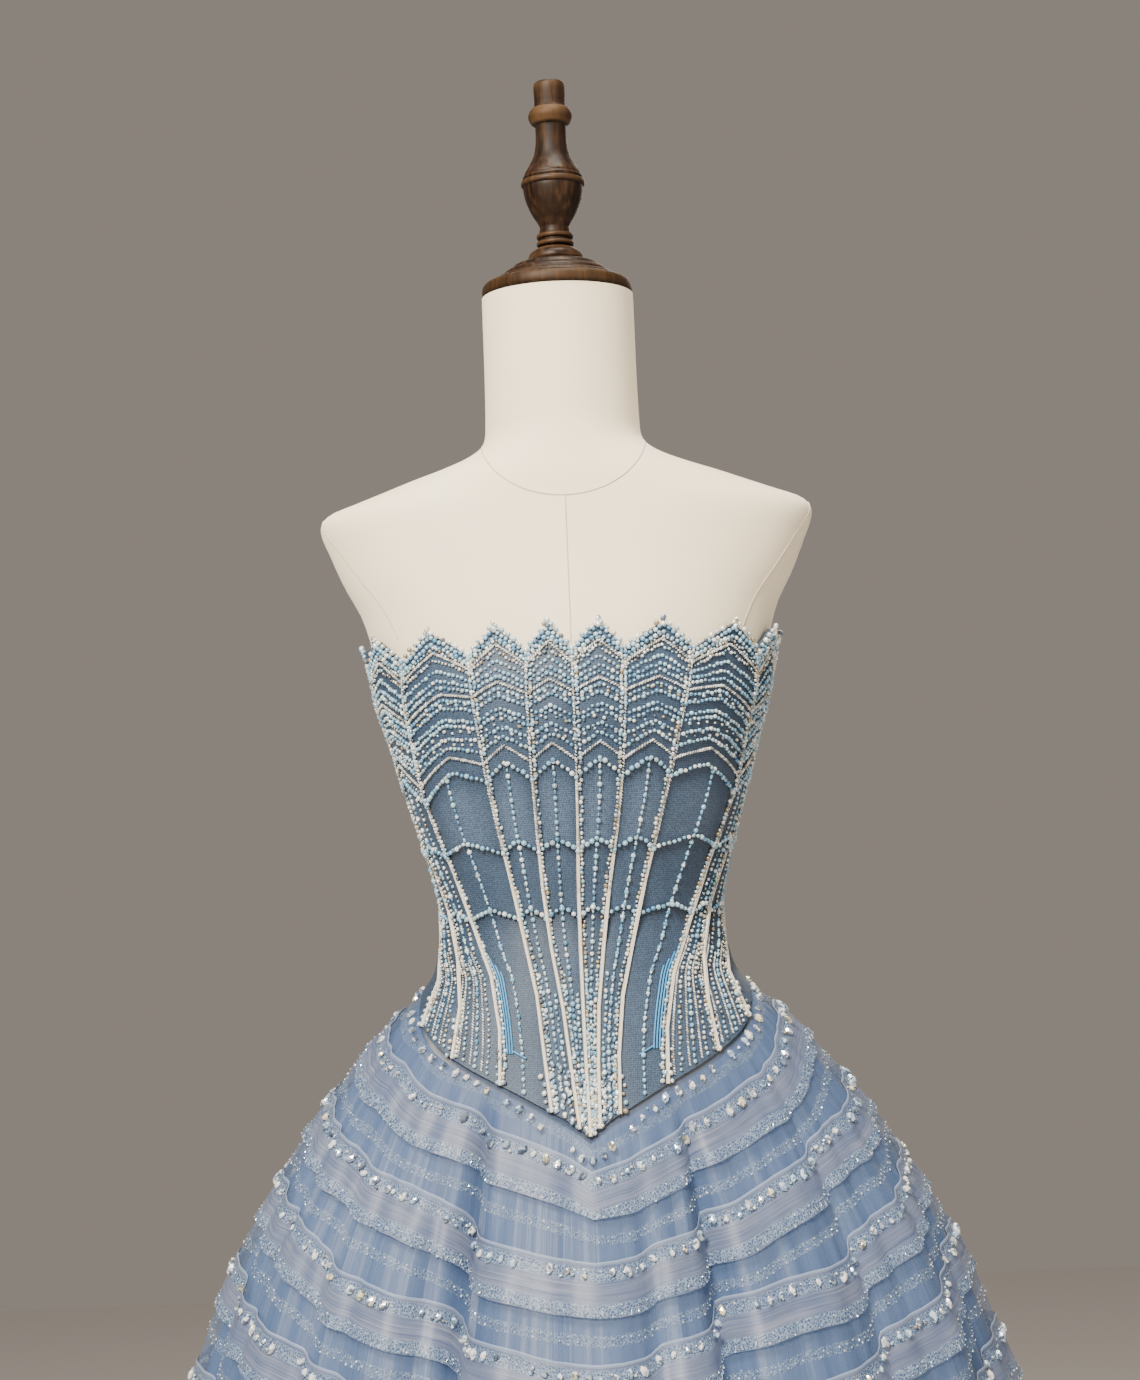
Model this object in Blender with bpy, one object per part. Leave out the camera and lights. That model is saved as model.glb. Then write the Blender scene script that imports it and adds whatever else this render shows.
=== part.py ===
"""Strapless beaded ball gown on a limbless dress form with a turned wooden cap and stand.

Metres, +Z up. The front of the gown faces -Y and the wearer's left is +X. The origin is the centre
of the foot's underside. Heights in the tables are measured from the waist. A turn is an angle round
the body in degrees, 0 at the centre front and positive towards the wearer's left.
"""
import math

import bmesh
import bpy
from mathutils import Matrix, Vector

# ---------------------------------------------------------------- driving dimensions
WAIST_HEIGHT = 1.080          # floor to waist
HEM_HEIGHT = 0.012 - WAIST_HEIGHT
SEAM_GAP = 0.0003             # between pieces that meet
LAP_DEPTH = 0.0026            # how far behind the bodice's outside the skirt's top edge is tucked
BODICE_WALL = 0.0016
NET_WALL = 0.0010
LINING_WALL = 0.0012
BAND_WALL = 0.0010
BODICE_ROWS = 8
BODICE_FACET = 10.0           # widest facet of a panel, in degrees
BONE_WIDTH = 0.0030
BONE_HEIGHT = 0.0026
BONE_LIFT = 0.0006            # underside of a bone, in front of the panels it crosses
# Corners of a bone: (share of its half width, distance in front of the panels)
BONE_PROFILE = ((-1, BONE_LIFT), (1, BONE_LIFT), (0.6, BONE_HEIGHT), (-0.6, BONE_HEIGHT))
NECKLINE_ARCH = 0.9           # how rounded the points of the neckline are (1 is straight-sided)
FORM_SIDES = 40
FORM_BUST = 0.230             # the torso's rings are evenly spaced from here
FORM_HIPS = -0.086            # to here
FORM_RINGS = 19
FORM_STEP = 0.0165
TURNED_SIDES = 32
STEP = 0.002                  # small step for slopes and normals
SETTLE_STEPS = 30             # rounds in which a line settles on the edge that it meets

# Outside of the cloth: (height, half width, front depth, back depth)
GOWN_SECTIONS = (
    (0.2400, 0.1680, 0.1010, 0.0860),
    (0.2050, 0.1590, 0.1110, 0.0850),
    (0.1690, 0.1520, 0.1180, 0.0850),
    (0.1350, 0.1410, 0.1170, 0.0840),
    (0.0960, 0.1310, 0.1090, 0.0820),
    (0.0380, 0.1145, 0.0940, 0.0780),
    (0.0000, 0.1086, 0.0880, 0.0760),
    (-0.0290, 0.1140, 0.0920, 0.0820),
    (-0.0480, 0.1210, 0.0950, 0.0900),
    (-0.0860, 0.1600, 0.1010, 0.1240),
    (-0.1280, 0.1970, 0.1100, 0.1600),
    (-0.1650, 0.2250, 0.1220, 0.1900),
    (-0.1950, 0.2440, 0.1380, 0.2110),
    (-0.2390, 0.2710, 0.1600, 0.2380),
    (-0.2840, 0.2930, 0.1810, 0.2610),
    (-0.3600, 0.3220, 0.2150, 0.2930),
    (-0.4500, 0.3530, 0.2520, 0.3280),
    (-0.6000, 0.4030, 0.3100, 0.3820),
    (-0.8000, 0.4680, 0.3830, 0.4500),
    (-1.0680, 0.5520, 0.4750, 0.5380),
)

# Lower edge of the bodice: (turn, height)
BODICE_EDGE = (
    (0.0, -0.1640),
    (4.0, -0.1530),
    (9.0, -0.1430),
    (17.0, -0.1290),
    (30.0, -0.1110),
    (45.0, -0.0920),
    (65.0, -0.0680),
    (90.0, -0.0500),
    (125.0, -0.0520),
    (155.0, -0.0640),
    (180.0, -0.0800),
)

# Neckline at the bones, below its points: (turn, height)
NECKLINE = (
    (0.0, 0.1980),
    (60.0, 0.1970),
    (100.0, 0.1930),
    (140.0, 0.1780),
    (180.0, 0.1700),
)
NECKLINE_POINT = 0.021        # how far each panel's point stands above its bones

# Bones: (name, turn at the neckline, under the bust, at the waist, below it, at the lower edge)
BONES = (
    ("back_right", -138.0, -140.0, -144.0, -141.0, -139.0),
    ("underarm_right", -103.0, -106.0, -90.0, -54.0, -45.0),
    ("side_right", -80.0, -86.0, -67.0, -39.0, -31.0),
    ("side_front_right", -53.5, -62.0, -50.5, -25.0, -17.5),
    ("front_right", -29.2, -29.8, -25.5, -12.8, -6.6),
    ("centre_right", -12.2, -14.4, -14.2, -5.8, -1.9),
    ("centre", 0.0, 0.0, -1.0, -0.6, 0.0),
    ("centre_left", 14.6, 14.6, 9.8, 3.4, 1.9),
    ("front_left", 35.8, 31.0, 23.0, 9.6, 5.6),
    ("side_front_left", 64.2, 66.5, 50.5, 23.5, 15.0),
    ("side_left", 84.0, 86.0, 63.0, 38.0, 28.0),
    ("underarm_left", 103.0, 106.0, 88.0, 53.0, 43.0),
    ("back_left", 138.0, 140.0, 144.0, 141.0, 139.0),
)
BONE_HEIGHTS = (0.2100, 0.0900, 0.0000, -0.0800, -0.1600)
CENTRE_BACK = 180.0
PANELS = (
    "back_right", "side_back_right", "underarm_right", "side_right", "side_front_right",
    "front_right", "centre_front_right", "centre_front_left", "front_left", "side_front_left",
    "side_left", "underarm_left", "side_back_left", "back_left",
)

# Folds of the skirt: (turn of the trough, depth, drop where it starts, drop where it is full)
FOLDS = (
    (-157.0, 0.020, 0.08, 0.36),
    (-128.0, 0.016, 0.08, 0.40),
    (-100.0, 0.018, 0.10, 0.48),
    (-72.0, 0.011, 0.12, 0.52),
    (-46.0, 0.008, 0.12, 0.46),
    (-22.0, 0.022, 0.13, 0.30),
    (-8.0, 0.005, 0.20, 0.50),
    (8.0, 0.009, 0.17, 0.32),
    (18.0, 0.021, 0.14, 0.30),
    (44.0, 0.011, 0.12, 0.42),
    (70.0, 0.012, 0.12, 0.52),
    (98.0, 0.016, 0.10, 0.48),
    (127.0, 0.017, 0.08, 0.40),
    (156.0, 0.019, 0.08, 0.36),
    (180.0, 0.012, 0.08, 0.42),
)
FOLD_SPREAD = 0.34            # half width of a trough, as a share of the space between folds

# Gores of the skirt: (name, turns that its long edges lie nearest to)
GORES = (
    ("front", -45.0, 45.0),
    ("left", 45.0, 135.0),
    ("back", 135.0, -135.0),
    ("right", -135.0, -45.0),
)

# Crin bands, as distances down the cloth from the bodice's edge
BAND_COUNT = 13
BAND_FIRST = 0.030
BAND_PITCH = 0.0740
BAND_WIDTH = 0.0420
PARALLEL_DROP = 0.300         # bands run parallel to the bodice's edge down to here
ROUNDING_DROP = 0.120         # and are fully rounded at its points from here
ROUNDING_TURNS = (-9.0, -6.0, -3.0, 0.0, 3.0, 6.0, 9.0)
SLOPE_STEPS = 80
LINING_ROWS = (0.012, 0.060, 0.120, 0.210, 0.350, 0.600)
LINING_DEPTH = 0.0090         # how far the under-skirt hangs inside the net
LINING_TOP_SHARE = 0.35       # share of that depth at its top edge
LINING_SPREAD = 0.150         # distance over which the rest of the depth is reached
LINING_RISE = 0.0050          # how far its hem is above the net's

# Dress form, padded torso: (height, half width, front depth, back depth)
FORM_SECTIONS = (
    (-0.2500, 0.1460, 0.0900, 0.0980),
    (-0.2350, 0.1540, 0.0960, 0.1070),
    (-0.1900, 0.1560, 0.0990, 0.1110),
    (-0.1400, 0.1480, 0.0980, 0.1080),
    (-0.0860, 0.1350, 0.0940, 0.0990),
    (-0.0480, 0.1160, 0.0910, 0.0855),
    (-0.0290, 0.1106, 0.0886, 0.0786),
    (0.0000, 0.1052, 0.0846, 0.0726),
    (0.0380, 0.1108, 0.0902, 0.0743),
    (0.0960, 0.1268, 0.1044, 0.0780),
    (0.1350, 0.1368, 0.1122, 0.0798),
    (0.1690, 0.1478, 0.1132, 0.0808),
    (0.2050, 0.1550, 0.1066, 0.0810),
    (0.2400, 0.1646, 0.0976, 0.0826),
    (0.2650, 0.1775, 0.0900, 0.0830),
    (0.2900, 0.1880, 0.0840, 0.0810),
    (0.3120, 0.1955, 0.0790, 0.0780),
    (0.3230, 0.1890, 0.0765, 0.0755),
    (0.3310, 0.1680, 0.0750, 0.0740),
    (0.3390, 0.1460, 0.0735, 0.0720),
    (0.3470, 0.1240, 0.0715, 0.0700),
    (0.3550, 0.1000, 0.0690, 0.0680),
    (0.3640, 0.0780, 0.0665, 0.0655),
    (0.3740, 0.0650, 0.0640, 0.0630),
    (0.3900, 0.0615, 0.0610, 0.0605),
    (0.4937, 0.0605, 0.0585, 0.0580),
)

# Turned pieces: (height from the waist or the floor, radius)
NECK_CAP = (
    (0.4940, 0.0000), (0.4940, 0.0585), (0.4965, 0.0600), (0.5035, 0.0600), (0.5060, 0.0585),
    (0.5064, 0.0500), (0.5085, 0.0478), (0.5120, 0.0466), (0.5150, 0.0400), (0.5180, 0.0300),
    (0.5212, 0.0240), (0.5212, 0.0000),
)
FINIAL = (
    (0.5215, 0.0000), (0.5215, 0.0205), (0.5250, 0.0222), (0.5300, 0.0205), (0.5330, 0.0140),
    (0.5350, 0.0136), (0.5375, 0.0152), (0.5400, 0.0136), (0.5440, 0.0136), (0.5465, 0.0148),
    (0.5490, 0.0122), (0.5520, 0.0122), (0.5600, 0.0175), (0.5700, 0.0222), (0.5800, 0.0243),
    (0.5838, 0.0238), (0.5850, 0.0253), (0.5880, 0.0253), (0.5892, 0.0236), (0.5960, 0.0240),
    (0.6020, 0.0205), (0.6100, 0.0150), (0.6200, 0.0124), (0.6320, 0.0122), (0.6350, 0.0158),
    (0.6413, 0.0180), (0.6476, 0.0158), (0.6500, 0.0124), (0.6560, 0.0121), (0.6670, 0.0130),
    (0.6694, 0.0118), (0.6694, 0.0000),
)
FOOT = (
    (0.0000, 0.0000), (0.0000, 0.1950), (0.0040, 0.2000), (0.0120, 0.2000), (0.0160, 0.1930),
    (0.0180, 0.1880), (0.0240, 0.1840), (0.0300, 0.0700), (0.0360, 0.0460), (0.0500, 0.0360),
    (0.0500, 0.0000),
)
FORM_BASE = (
    (-0.2640, 0.0000), (-0.2640, 0.0560), (-0.2610, 0.0600), (-0.2530, 0.0600), (-0.2503, 0.0570),
    (-0.2503, 0.0000),
)
POLE_RADIUS = 0.0160
COLLAR_RADIUS = 0.0240
COLLAR_HEIGHT = 0.0300

# Zip at the centre back: slider and the tab that swings on its pin
SLIDER_HEIGHT = 0.1560
SLIDER_SIZE = Vector((0.0070, 0.0024, 0.0100))
PIN_RADIUS = 0.0006
PIN_STANDOFF = 0.0042         # pin in front of the slider's back
LUG_SIZE = Vector((0.0011, 0.0030, 0.0028))
TAB_WIDTH = 0.0040
TAB_LENGTH = 0.0200
TAB_THICKNESS = 0.0012
EYE_OUTER = 0.0017
EYE_INNER = 0.0010

COLOURS = {                   # base colour, roughness, metallic
    "jersey": ((0.87, 0.81, 0.70), 0.85, 0.0),
    "wood": ((0.09, 0.035, 0.015), 0.40, 0.0),
    "bodice_net": ((0.15, 0.26, 0.40), 0.60, 0.0),
    "bone_cord": ((0.76, 0.70, 0.60), 0.60, 0.0),
    "skirt_net": ((0.24, 0.36, 0.58), 0.55, 0.0),
    "under_skirt": ((0.17, 0.28, 0.50), 0.60, 0.0),
    "crin_band": ((0.42, 0.46, 0.58), 0.45, 0.0),
    "zip_metal": ((0.75, 0.75, 0.77), 0.30, 1.0),
}


# ---------------------------------------------------------------- tables and surfaces
def smooth_table(table, where, columns):
    """Values at `where` from rows in order of their first column, with smooth (cubic) steps."""
    rows = table if table[0][0] < table[-1][0] else table[::-1]
    where = min(max(where, rows[0][0]), rows[-1][0])
    index = 0
    while index < len(rows) - 2 and rows[index + 1][0] < where:
        index += 1
    low = rows[index]
    high = rows[index + 1]
    before = rows[max(index - 1, 0)]
    after = rows[min(index + 2, len(rows) - 1)]
    span = high[0] - low[0]
    part = (where - low[0]) / span
    values = []
    for column in range(1, columns + 1):
        slope_low = (high[column] - before[column]) / (high[0] - before[0])
        slope_high = (after[column] - low[column]) / (after[0] - low[0])
        values.append(
            (2 * part ** 3 - 3 * part ** 2 + 1) * low[column]
            + (part ** 3 - 2 * part ** 2 + part) * span * slope_low
            + (3 * part ** 2 - 2 * part ** 3) * high[column]
            + (part ** 3 - part ** 2) * span * slope_high
        )
    return values


def turn_between(first, second):
    """Signed turn from one angle to another, -180 to 180 degrees."""
    return (second - first + 180.0) % 360.0 - 180.0


def oval_point(sections, turn, height, out=0.0):
    """A point on a body of oval sections, moved outwards by `out`."""
    half_width, front, back = smooth_table(sections, height, 3)
    angle = math.radians(turn)
    depth = front if math.cos(angle) > 0 else back
    return Vector((
        (half_width + out) * math.sin(angle),
        -(depth + out) * math.cos(angle),
        WAIST_HEIGHT + height,
    ))


def fold_offset(turn, height):
    """How far the folds pull the skirt in at a turn and height (0 or less)."""
    total = 0.0
    for index, (middle, depth, start, full) in enumerate(FOLDS):
        after = FOLDS[(index + 1) % len(FOLDS)][0]
        before = FOLDS[index - 1][0]
        width = FOLD_SPREAD * abs(turn_between(before, after)) / 2
        grow = min(max((-height - start) / (full - start), 0.0), 1.0)
        reach = math.exp(-(turn_between(middle, turn) / width) ** 2)
        total -= depth * grow * grow * (3 - 2 * grow) * reach
    return total


def gown_point(turn, height):
    """A point on the outside of the bodice or of the skirt's net."""
    return oval_point(GOWN_SECTIONS, turn, height, fold_offset(turn, height))


def gown_normal(turn, height):
    """The outward direction of the gown's surface."""
    along = gown_point(turn + 0.5, height) - gown_point(turn - 0.5, height)
    down = gown_point(turn, height - STEP) - gown_point(turn, height + STEP)
    return down.cross(along).normalized()


def gown_offset(turn, height, out):
    """A point `out` in front of the gown's surface (behind it if negative)."""
    return gown_point(turn, height) + gown_normal(turn, height) * out


def edge_height(turn):
    """Height of the bodice's lower edge."""
    return smooth_table(BODICE_EDGE, abs(turn_between(0.0, turn)), 1)[0]


# ---------------------------------------------------------------- meshes and materials
def material(name):
    """One Principled material, shared by the pieces of one finish."""
    found = bpy.data.materials.get(name)
    if found:
        return found
    colour, roughness, metallic = COLOURS[name]
    made = bpy.data.materials.new(name)
    made.use_nodes = True
    shader = made.node_tree.nodes["Principled BSDF"]
    shader.inputs["Base Color"].default_value = (*colour, 1.0)
    shader.inputs["Roughness"].default_value = roughness
    shader.inputs["Metallic"].default_value = metallic
    made.diffuse_color = (*colour, 1.0)
    return made


def add_object(name, mesh, finish, smooth=True):
    """An object for a finished mesh, with its material."""
    piece = bpy.data.objects.new(name, mesh)
    bpy.context.scene.collection.objects.link(piece)
    if finish:
        mesh.materials.append(material(finish))
    if smooth:
        mesh.shade_smooth()
        mesh.set_sharp_from_angle(angle=math.radians(40))
    return piece


def mesh_from(name, bm):
    """A mesh from a bmesh whose faces all point outwards."""
    bmesh.ops.recalc_face_normals(bm, faces=bm.faces)
    mesh = bpy.data.meshes.new(name)
    bm.to_mesh(mesh)
    bm.free()
    return mesh


def wall(name, finish, outer, inner, closed=False):
    """A cloth wall between two grids of points (rows of columns), closed round if asked."""
    bm = bmesh.new()
    faces_of = []
    for grid in (outer, inner):
        faces_of.append([[bm.verts.new(point) for point in row] for row in grid])
    front, back = faces_of
    rows = len(outer)
    columns = len(outer[0])
    steps = columns if closed else columns - 1
    for row in range(rows - 1):
        for column in range(steps):
            beside = (column + 1) % columns
            for grid in (front, back):
                bm.faces.new((grid[row][column], grid[row][beside],
                              grid[row + 1][beside], grid[row + 1][column]))
    for row in (0, rows - 1):
        for column in range(steps):
            beside = (column + 1) % columns
            bm.faces.new((front[row][column], front[row][beside],
                          back[row][beside], back[row][column]))
    if not closed:
        for column in (0, columns - 1):
            for row in range(rows - 1):
                bm.faces.new((front[row][column], front[row + 1][column],
                              back[row + 1][column], back[row][column]))
    return add_object(name, mesh_from(name, bm), finish)


def turned(name, finish, profile, base=0.0):
    """A piece turned on a lathe: its profile of (height, radius) spun round Z."""
    bm = bmesh.new()
    points = [bm.verts.new((radius, 0.0, base + height)) for height, radius in profile]
    edges = [bm.edges.new(pair) for pair in zip(points, points[1:])]
    bmesh.ops.spin(bm, geom=points + edges, cent=(0, 0, 0), axis=(0, 0, 1),
                   angle=math.tau, steps=TURNED_SIDES, use_merge=True)
    bmesh.ops.remove_doubles(bm, verts=bm.verts, dist=0.00001)
    return add_object(name, mesh_from(name, bm), finish)


# ---------------------------------------------------------------- dress form and stand
def build_form():
    """The padded torso: oval rings bridged into one closed body."""
    bm = bmesh.new()
    turns = [360.0 * side / FORM_SIDES for side in range(FORM_SIDES)]
    heights = [row[0] for row in FORM_SECTIONS if not FORM_HIPS <= row[0] <= FORM_BUST]
    heights += [FORM_HIPS + FORM_STEP * ring for ring in range(FORM_RINGS)]
    rings = []
    for height in sorted(heights):
        rings.append([bm.verts.new(oval_point(FORM_SECTIONS, turn, height)) for turn in turns])
    for lower, upper in zip(rings, rings[1:]):
        for side in range(FORM_SIDES):
            beside = (side + 1) % FORM_SIDES
            bm.faces.new((lower[side], lower[beside], upper[beside], upper[side]))
    bm.faces.new(rings[0])
    bm.faces.new(rings[-1])
    add_object("form_torso", mesh_from("form_torso", bm), "jersey")


def build_stand():
    """Turned cap and finial on the neck, base under the torso, pole, collar and foot."""
    turned("neck_cap", "wood", NECK_CAP, WAIST_HEIGHT)
    turned("finial", "wood", FINIAL, WAIST_HEIGHT)
    turned("form_base", "wood", FORM_BASE, WAIST_HEIGHT)
    turned("stand_foot", "wood", FOOT)
    pole_bottom = FOOT[-1][0] + SEAM_GAP
    pole_top = WAIST_HEIGHT + FORM_BASE[0][0] - SEAM_GAP
    turned("pole", "wood", (
        (pole_bottom, 0.0), (pole_bottom, POLE_RADIUS), (pole_top, POLE_RADIUS), (pole_top, 0.0)))
    bore = POLE_RADIUS + SEAM_GAP
    collar_top = pole_bottom + COLLAR_HEIGHT
    chamfer = (COLLAR_RADIUS - bore) / 3
    turned("pole_collar", "wood", (
        (pole_bottom, bore), (pole_bottom, COLLAR_RADIUS), (collar_top - chamfer, COLLAR_RADIUS),
        (collar_top, COLLAR_RADIUS - chamfer), (collar_top, bore), (pole_bottom, bore)))


# ---------------------------------------------------------------- bodice
def bone_turn(bone, height):
    """Turn of a bone at a height."""
    table = tuple(zip(BONE_HEIGHTS, bone[1:]))
    return smooth_table(table, height, 1)[0]


def seam_line(before, after, share):
    """Turn as a function of height for a line part of the way from one bone to the next."""
    def turn_at(height):
        return (1 - share) * bone_turn(before, height) + share * bone_turn(after, height)
    return turn_at


def ends_of(turn_at, share):
    """Heights where a line meets the neckline and the lower edge."""
    top = NECKLINE[0][1]
    bottom = BODICE_EDGE[4][1]
    point = NECKLINE_POINT * (1 - abs(2 * share - 1)) ** NECKLINE_ARCH
    for _ in range(SETTLE_STEPS):
        top = smooth_table(NECKLINE, abs(turn_between(0.0, turn_at(top))), 1)[0] + point
        bottom = 0.5 * bottom + 0.5 * edge_height(turn_at(bottom))
    return top, bottom


def build_bodice():
    """Fourteen panels between the bones, each a wall with a point at its top."""
    centre_back_right = ("centre_back", *[-CENTRE_BACK] * len(BONE_HEIGHTS))
    centre_back_left = ("centre_back", *[CENTRE_BACK] * len(BONE_HEIGHTS))
    seams = (centre_back_right, *BONES, centre_back_left)
    for name, before, after in zip(PANELS, seams, seams[1:]):
        width = abs(bone_turn(after, 0.0) - bone_turn(before, 0.0))
        facets = max(2, math.ceil(width / BODICE_FACET))
        shares = [facet / facets for facet in range(facets + 1)]
        outer = []
        inner = []
        for share in shares:
            turn_at = seam_line(before, after, share)
            top, bottom = ends_of(turn_at, share)
            # half a seam gap is left on each side of a seam
            side = {0.0: 1, 1.0: -1}.get(share, 0)
            front_column = []
            back_column = []
            for row in range(BODICE_ROWS + 1):
                height = top + (bottom - top) * row / BODICE_ROWS
                turn = turn_at(height)
                along = gown_point(turn + 0.5, height) - gown_point(turn - 0.5, height)
                shift = along.normalized() * side * SEAM_GAP / 2
                front_column.append(gown_point(turn, height) + shift)
                back_column.append(gown_offset(turn, height, -BODICE_WALL) + shift)
            outer.append(front_column)
            inner.append(back_column)
        wall("bodice_" + name, "bodice_net", outer, inner)


def build_bones():
    """A corded bone on every seam between panels, laid on the panels' points."""
    for bone in BONES:
        turn_at = seam_line(bone, bone, 0.0)
        top, bottom = ends_of(turn_at, 0.0)
        rings = []
        for row in range(BODICE_ROWS + 1):
            height = top + (bottom - top) * row / BODICE_ROWS
            turn = turn_at(height)
            middle = gown_point(turn, height)
            out = gown_normal(turn, height)
            down = (gown_point(turn_at(height - STEP), height - STEP) - middle).normalized()
            across = out.cross(down).normalized()
            rings.append([
                middle + across * (BONE_WIDTH * side / 2) + out * lift for side, lift in BONE_PROFILE
            ])
        bm = bmesh.new()
        loops = [[bm.verts.new(point) for point in ring] for ring in rings]
        for upper, lower in zip(loops, loops[1:]):
            for corner in range(4):
                beside = (corner + 1) % 4
                bm.faces.new((upper[corner], upper[beside], lower[beside], lower[corner]))
        bm.faces.new(loops[0])
        bm.faces.new(loops[-1])
        name = "bone_" + bone[0]
        add_object(name, mesh_from(name, bm), "bone_cord", smooth=False)


# ---------------------------------------------------------------- skirt
def skirt_columns():
    """Turns of the skirt's facets: every trough, and the ridge between it and the next."""
    turns = []
    for index, (trough, *_) in enumerate(FOLDS):
        after = FOLDS[(index + 1) % len(FOLDS)][0]
        turns.append(trough)
        turns.append(trough + turn_between(trough, after) / 2)
    return turns


def slope_table(turn, top):
    """(distance down the cloth, height) along one turn, from the bodice's edge to the hem."""
    table = [(0.0, top)]
    before = gown_point(turn, top)
    for step in range(1, SLOPE_STEPS + 1):
        height = top + (HEM_HEIGHT - top) * step / SLOPE_STEPS
        here = gown_point(turn, height)
        table.append((table[-1][0] + (here - before).length, height))
        before = here
    return table


def straight_heights(turn, distances, front_length):
    """Heights on one turn of the rows at the given distances down the cloth."""
    table = slope_table(turn, edge_height(turn))
    length = table[-1][0]
    heights = []
    for distance in distances:
        beyond = max(distance - PARALLEL_DROP, 0.0) / (front_length - PARALLEL_DROP)
        wanted = min(distance + beyond * (length - front_length), length)
        heights.append(smooth_table(table, wanted, 1)[0])
    return heights


def row_heights(turn, distances, front_length):
    """The same heights, rounded under the point of the bodice by a mean over nearby turns."""
    straight = straight_heights(turn, distances, front_length)
    nearby = [straight_heights(turn + aside, distances, front_length) for aside in ROUNDING_TURNS]
    heights = []
    for row, distance in enumerate(distances):
        mean = sum(column[row] for column in nearby) / len(nearby)
        share = min(distance / ROUNDING_DROP, 1.0)
        heights.append((1 - share) * straight[row] + share * mean)
    return heights


def make_gore(name, finish, outer, inner):
    """A gore of the skirt: its two long edges are drawn in by half a seam gap."""
    for grid in (outer, inner):
        for row in grid:
            row[0] = row[0] + (row[1] - row[0]).normalized() * SEAM_GAP / 2
            row[-1] = row[-1] + (row[-2] - row[-1]).normalized() * SEAM_GAP / 2
    wall(name, finish, outer, inner)


def build_skirt():
    """Net over-skirt and under-skirt in four gores, and the crin bands laid round the net."""
    turns = skirt_columns()
    front_length = slope_table(0.0, edge_height(0.0))[-1][0]
    distances = [0.0]
    for band in range(BAND_COUNT):
        top = BAND_FIRST + BAND_PITCH * band
        distances += [top, top + BAND_WIDTH]
    distances.append(front_length)
    lining_distances = [*LINING_ROWS, front_length]
    heights = [row_heights(turn, distances, front_length) for turn in turns]
    lining_heights = [row_heights(turn, lining_distances, front_length) for turn in turns]

    def net_grid(row_numbers, columns, out):
        grid = []
        for row in row_numbers:
            tuck = LAP_DEPTH if row == 0 else 0.0
            grid.append([gown_offset(turns[c], heights[c][row], out - tuck) for c in columns])
        return grid

    def lining_grid(columns, extra):
        grid = []
        for row, distance in enumerate(lining_distances):
            share = min(LINING_TOP_SHARE + distance / LINING_SPREAD, 1.0)
            depth = LINING_DEPTH * share + extra
            line = []
            for column in columns:
                rise = LINING_RISE if row == len(lining_distances) - 1 else 0.0
                height = lining_heights[column][row] + rise
                line.append(gown_offset(turns[column], height, -depth))
            grid.append(line)
        return grid

    count = len(turns)
    for name, start, end in GORES:
        first = min(range(count), key=lambda c: abs(turn_between(turns[c], start)))
        last = min(range(count), key=lambda c: abs(turn_between(turns[c], end)))
        columns = [(first + step) % count for step in range((last - first) % count + 1)]
        rows = range(len(distances))
        make_gore("skirt_net_" + name, "skirt_net", net_grid(rows, columns, 0.0),
                  net_grid(rows, columns, -NET_WALL))
        make_gore("under_skirt_" + name, "under_skirt", lining_grid(columns, 0.0),
                  lining_grid(columns, LINING_WALL))
    everywhere = range(count)
    for band in range(BAND_COUNT):
        rows = (1 + 2 * band, 2 + 2 * band)
        wall(f"crin_band_{band + 1:02d}", "crin_band",
             net_grid(rows, everywhere, SEAM_GAP + BAND_WALL),
             net_grid(rows, everywhere, SEAM_GAP), closed=True)


# ---------------------------------------------------------------- zip
def box_mesh(name, size, middle):
    """A box, its scale already in the mesh."""
    bm = bmesh.new()
    place = Matrix.Translation(middle) @ Matrix.Diagonal((*size, 1.0))
    bmesh.ops.create_cube(bm, size=1.0, matrix=place)
    return mesh_from(name, bm)


def rod_mesh(name, radius, length, middle, sides=16):
    """A round rod along X."""
    bm = bmesh.new()
    place = Matrix.Translation(middle) @ Matrix.Rotation(math.pi / 2, 4, "Y")
    bmesh.ops.create_cone(bm, cap_ends=True, segments=sides, radius1=radius, radius2=radius,
                          depth=length, matrix=place)
    return mesh_from(name, bm)


def combine(piece, tool, operation):
    """A Boolean with a hidden tool object."""
    tool.hide_render = True
    tool.display_type = "WIRE"
    cut = piece.modifiers.new(operation.title() + " " + tool.name, "BOOLEAN")
    cut.operation = operation
    cut.object = tool
    cut.solver = "EXACT"


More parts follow.
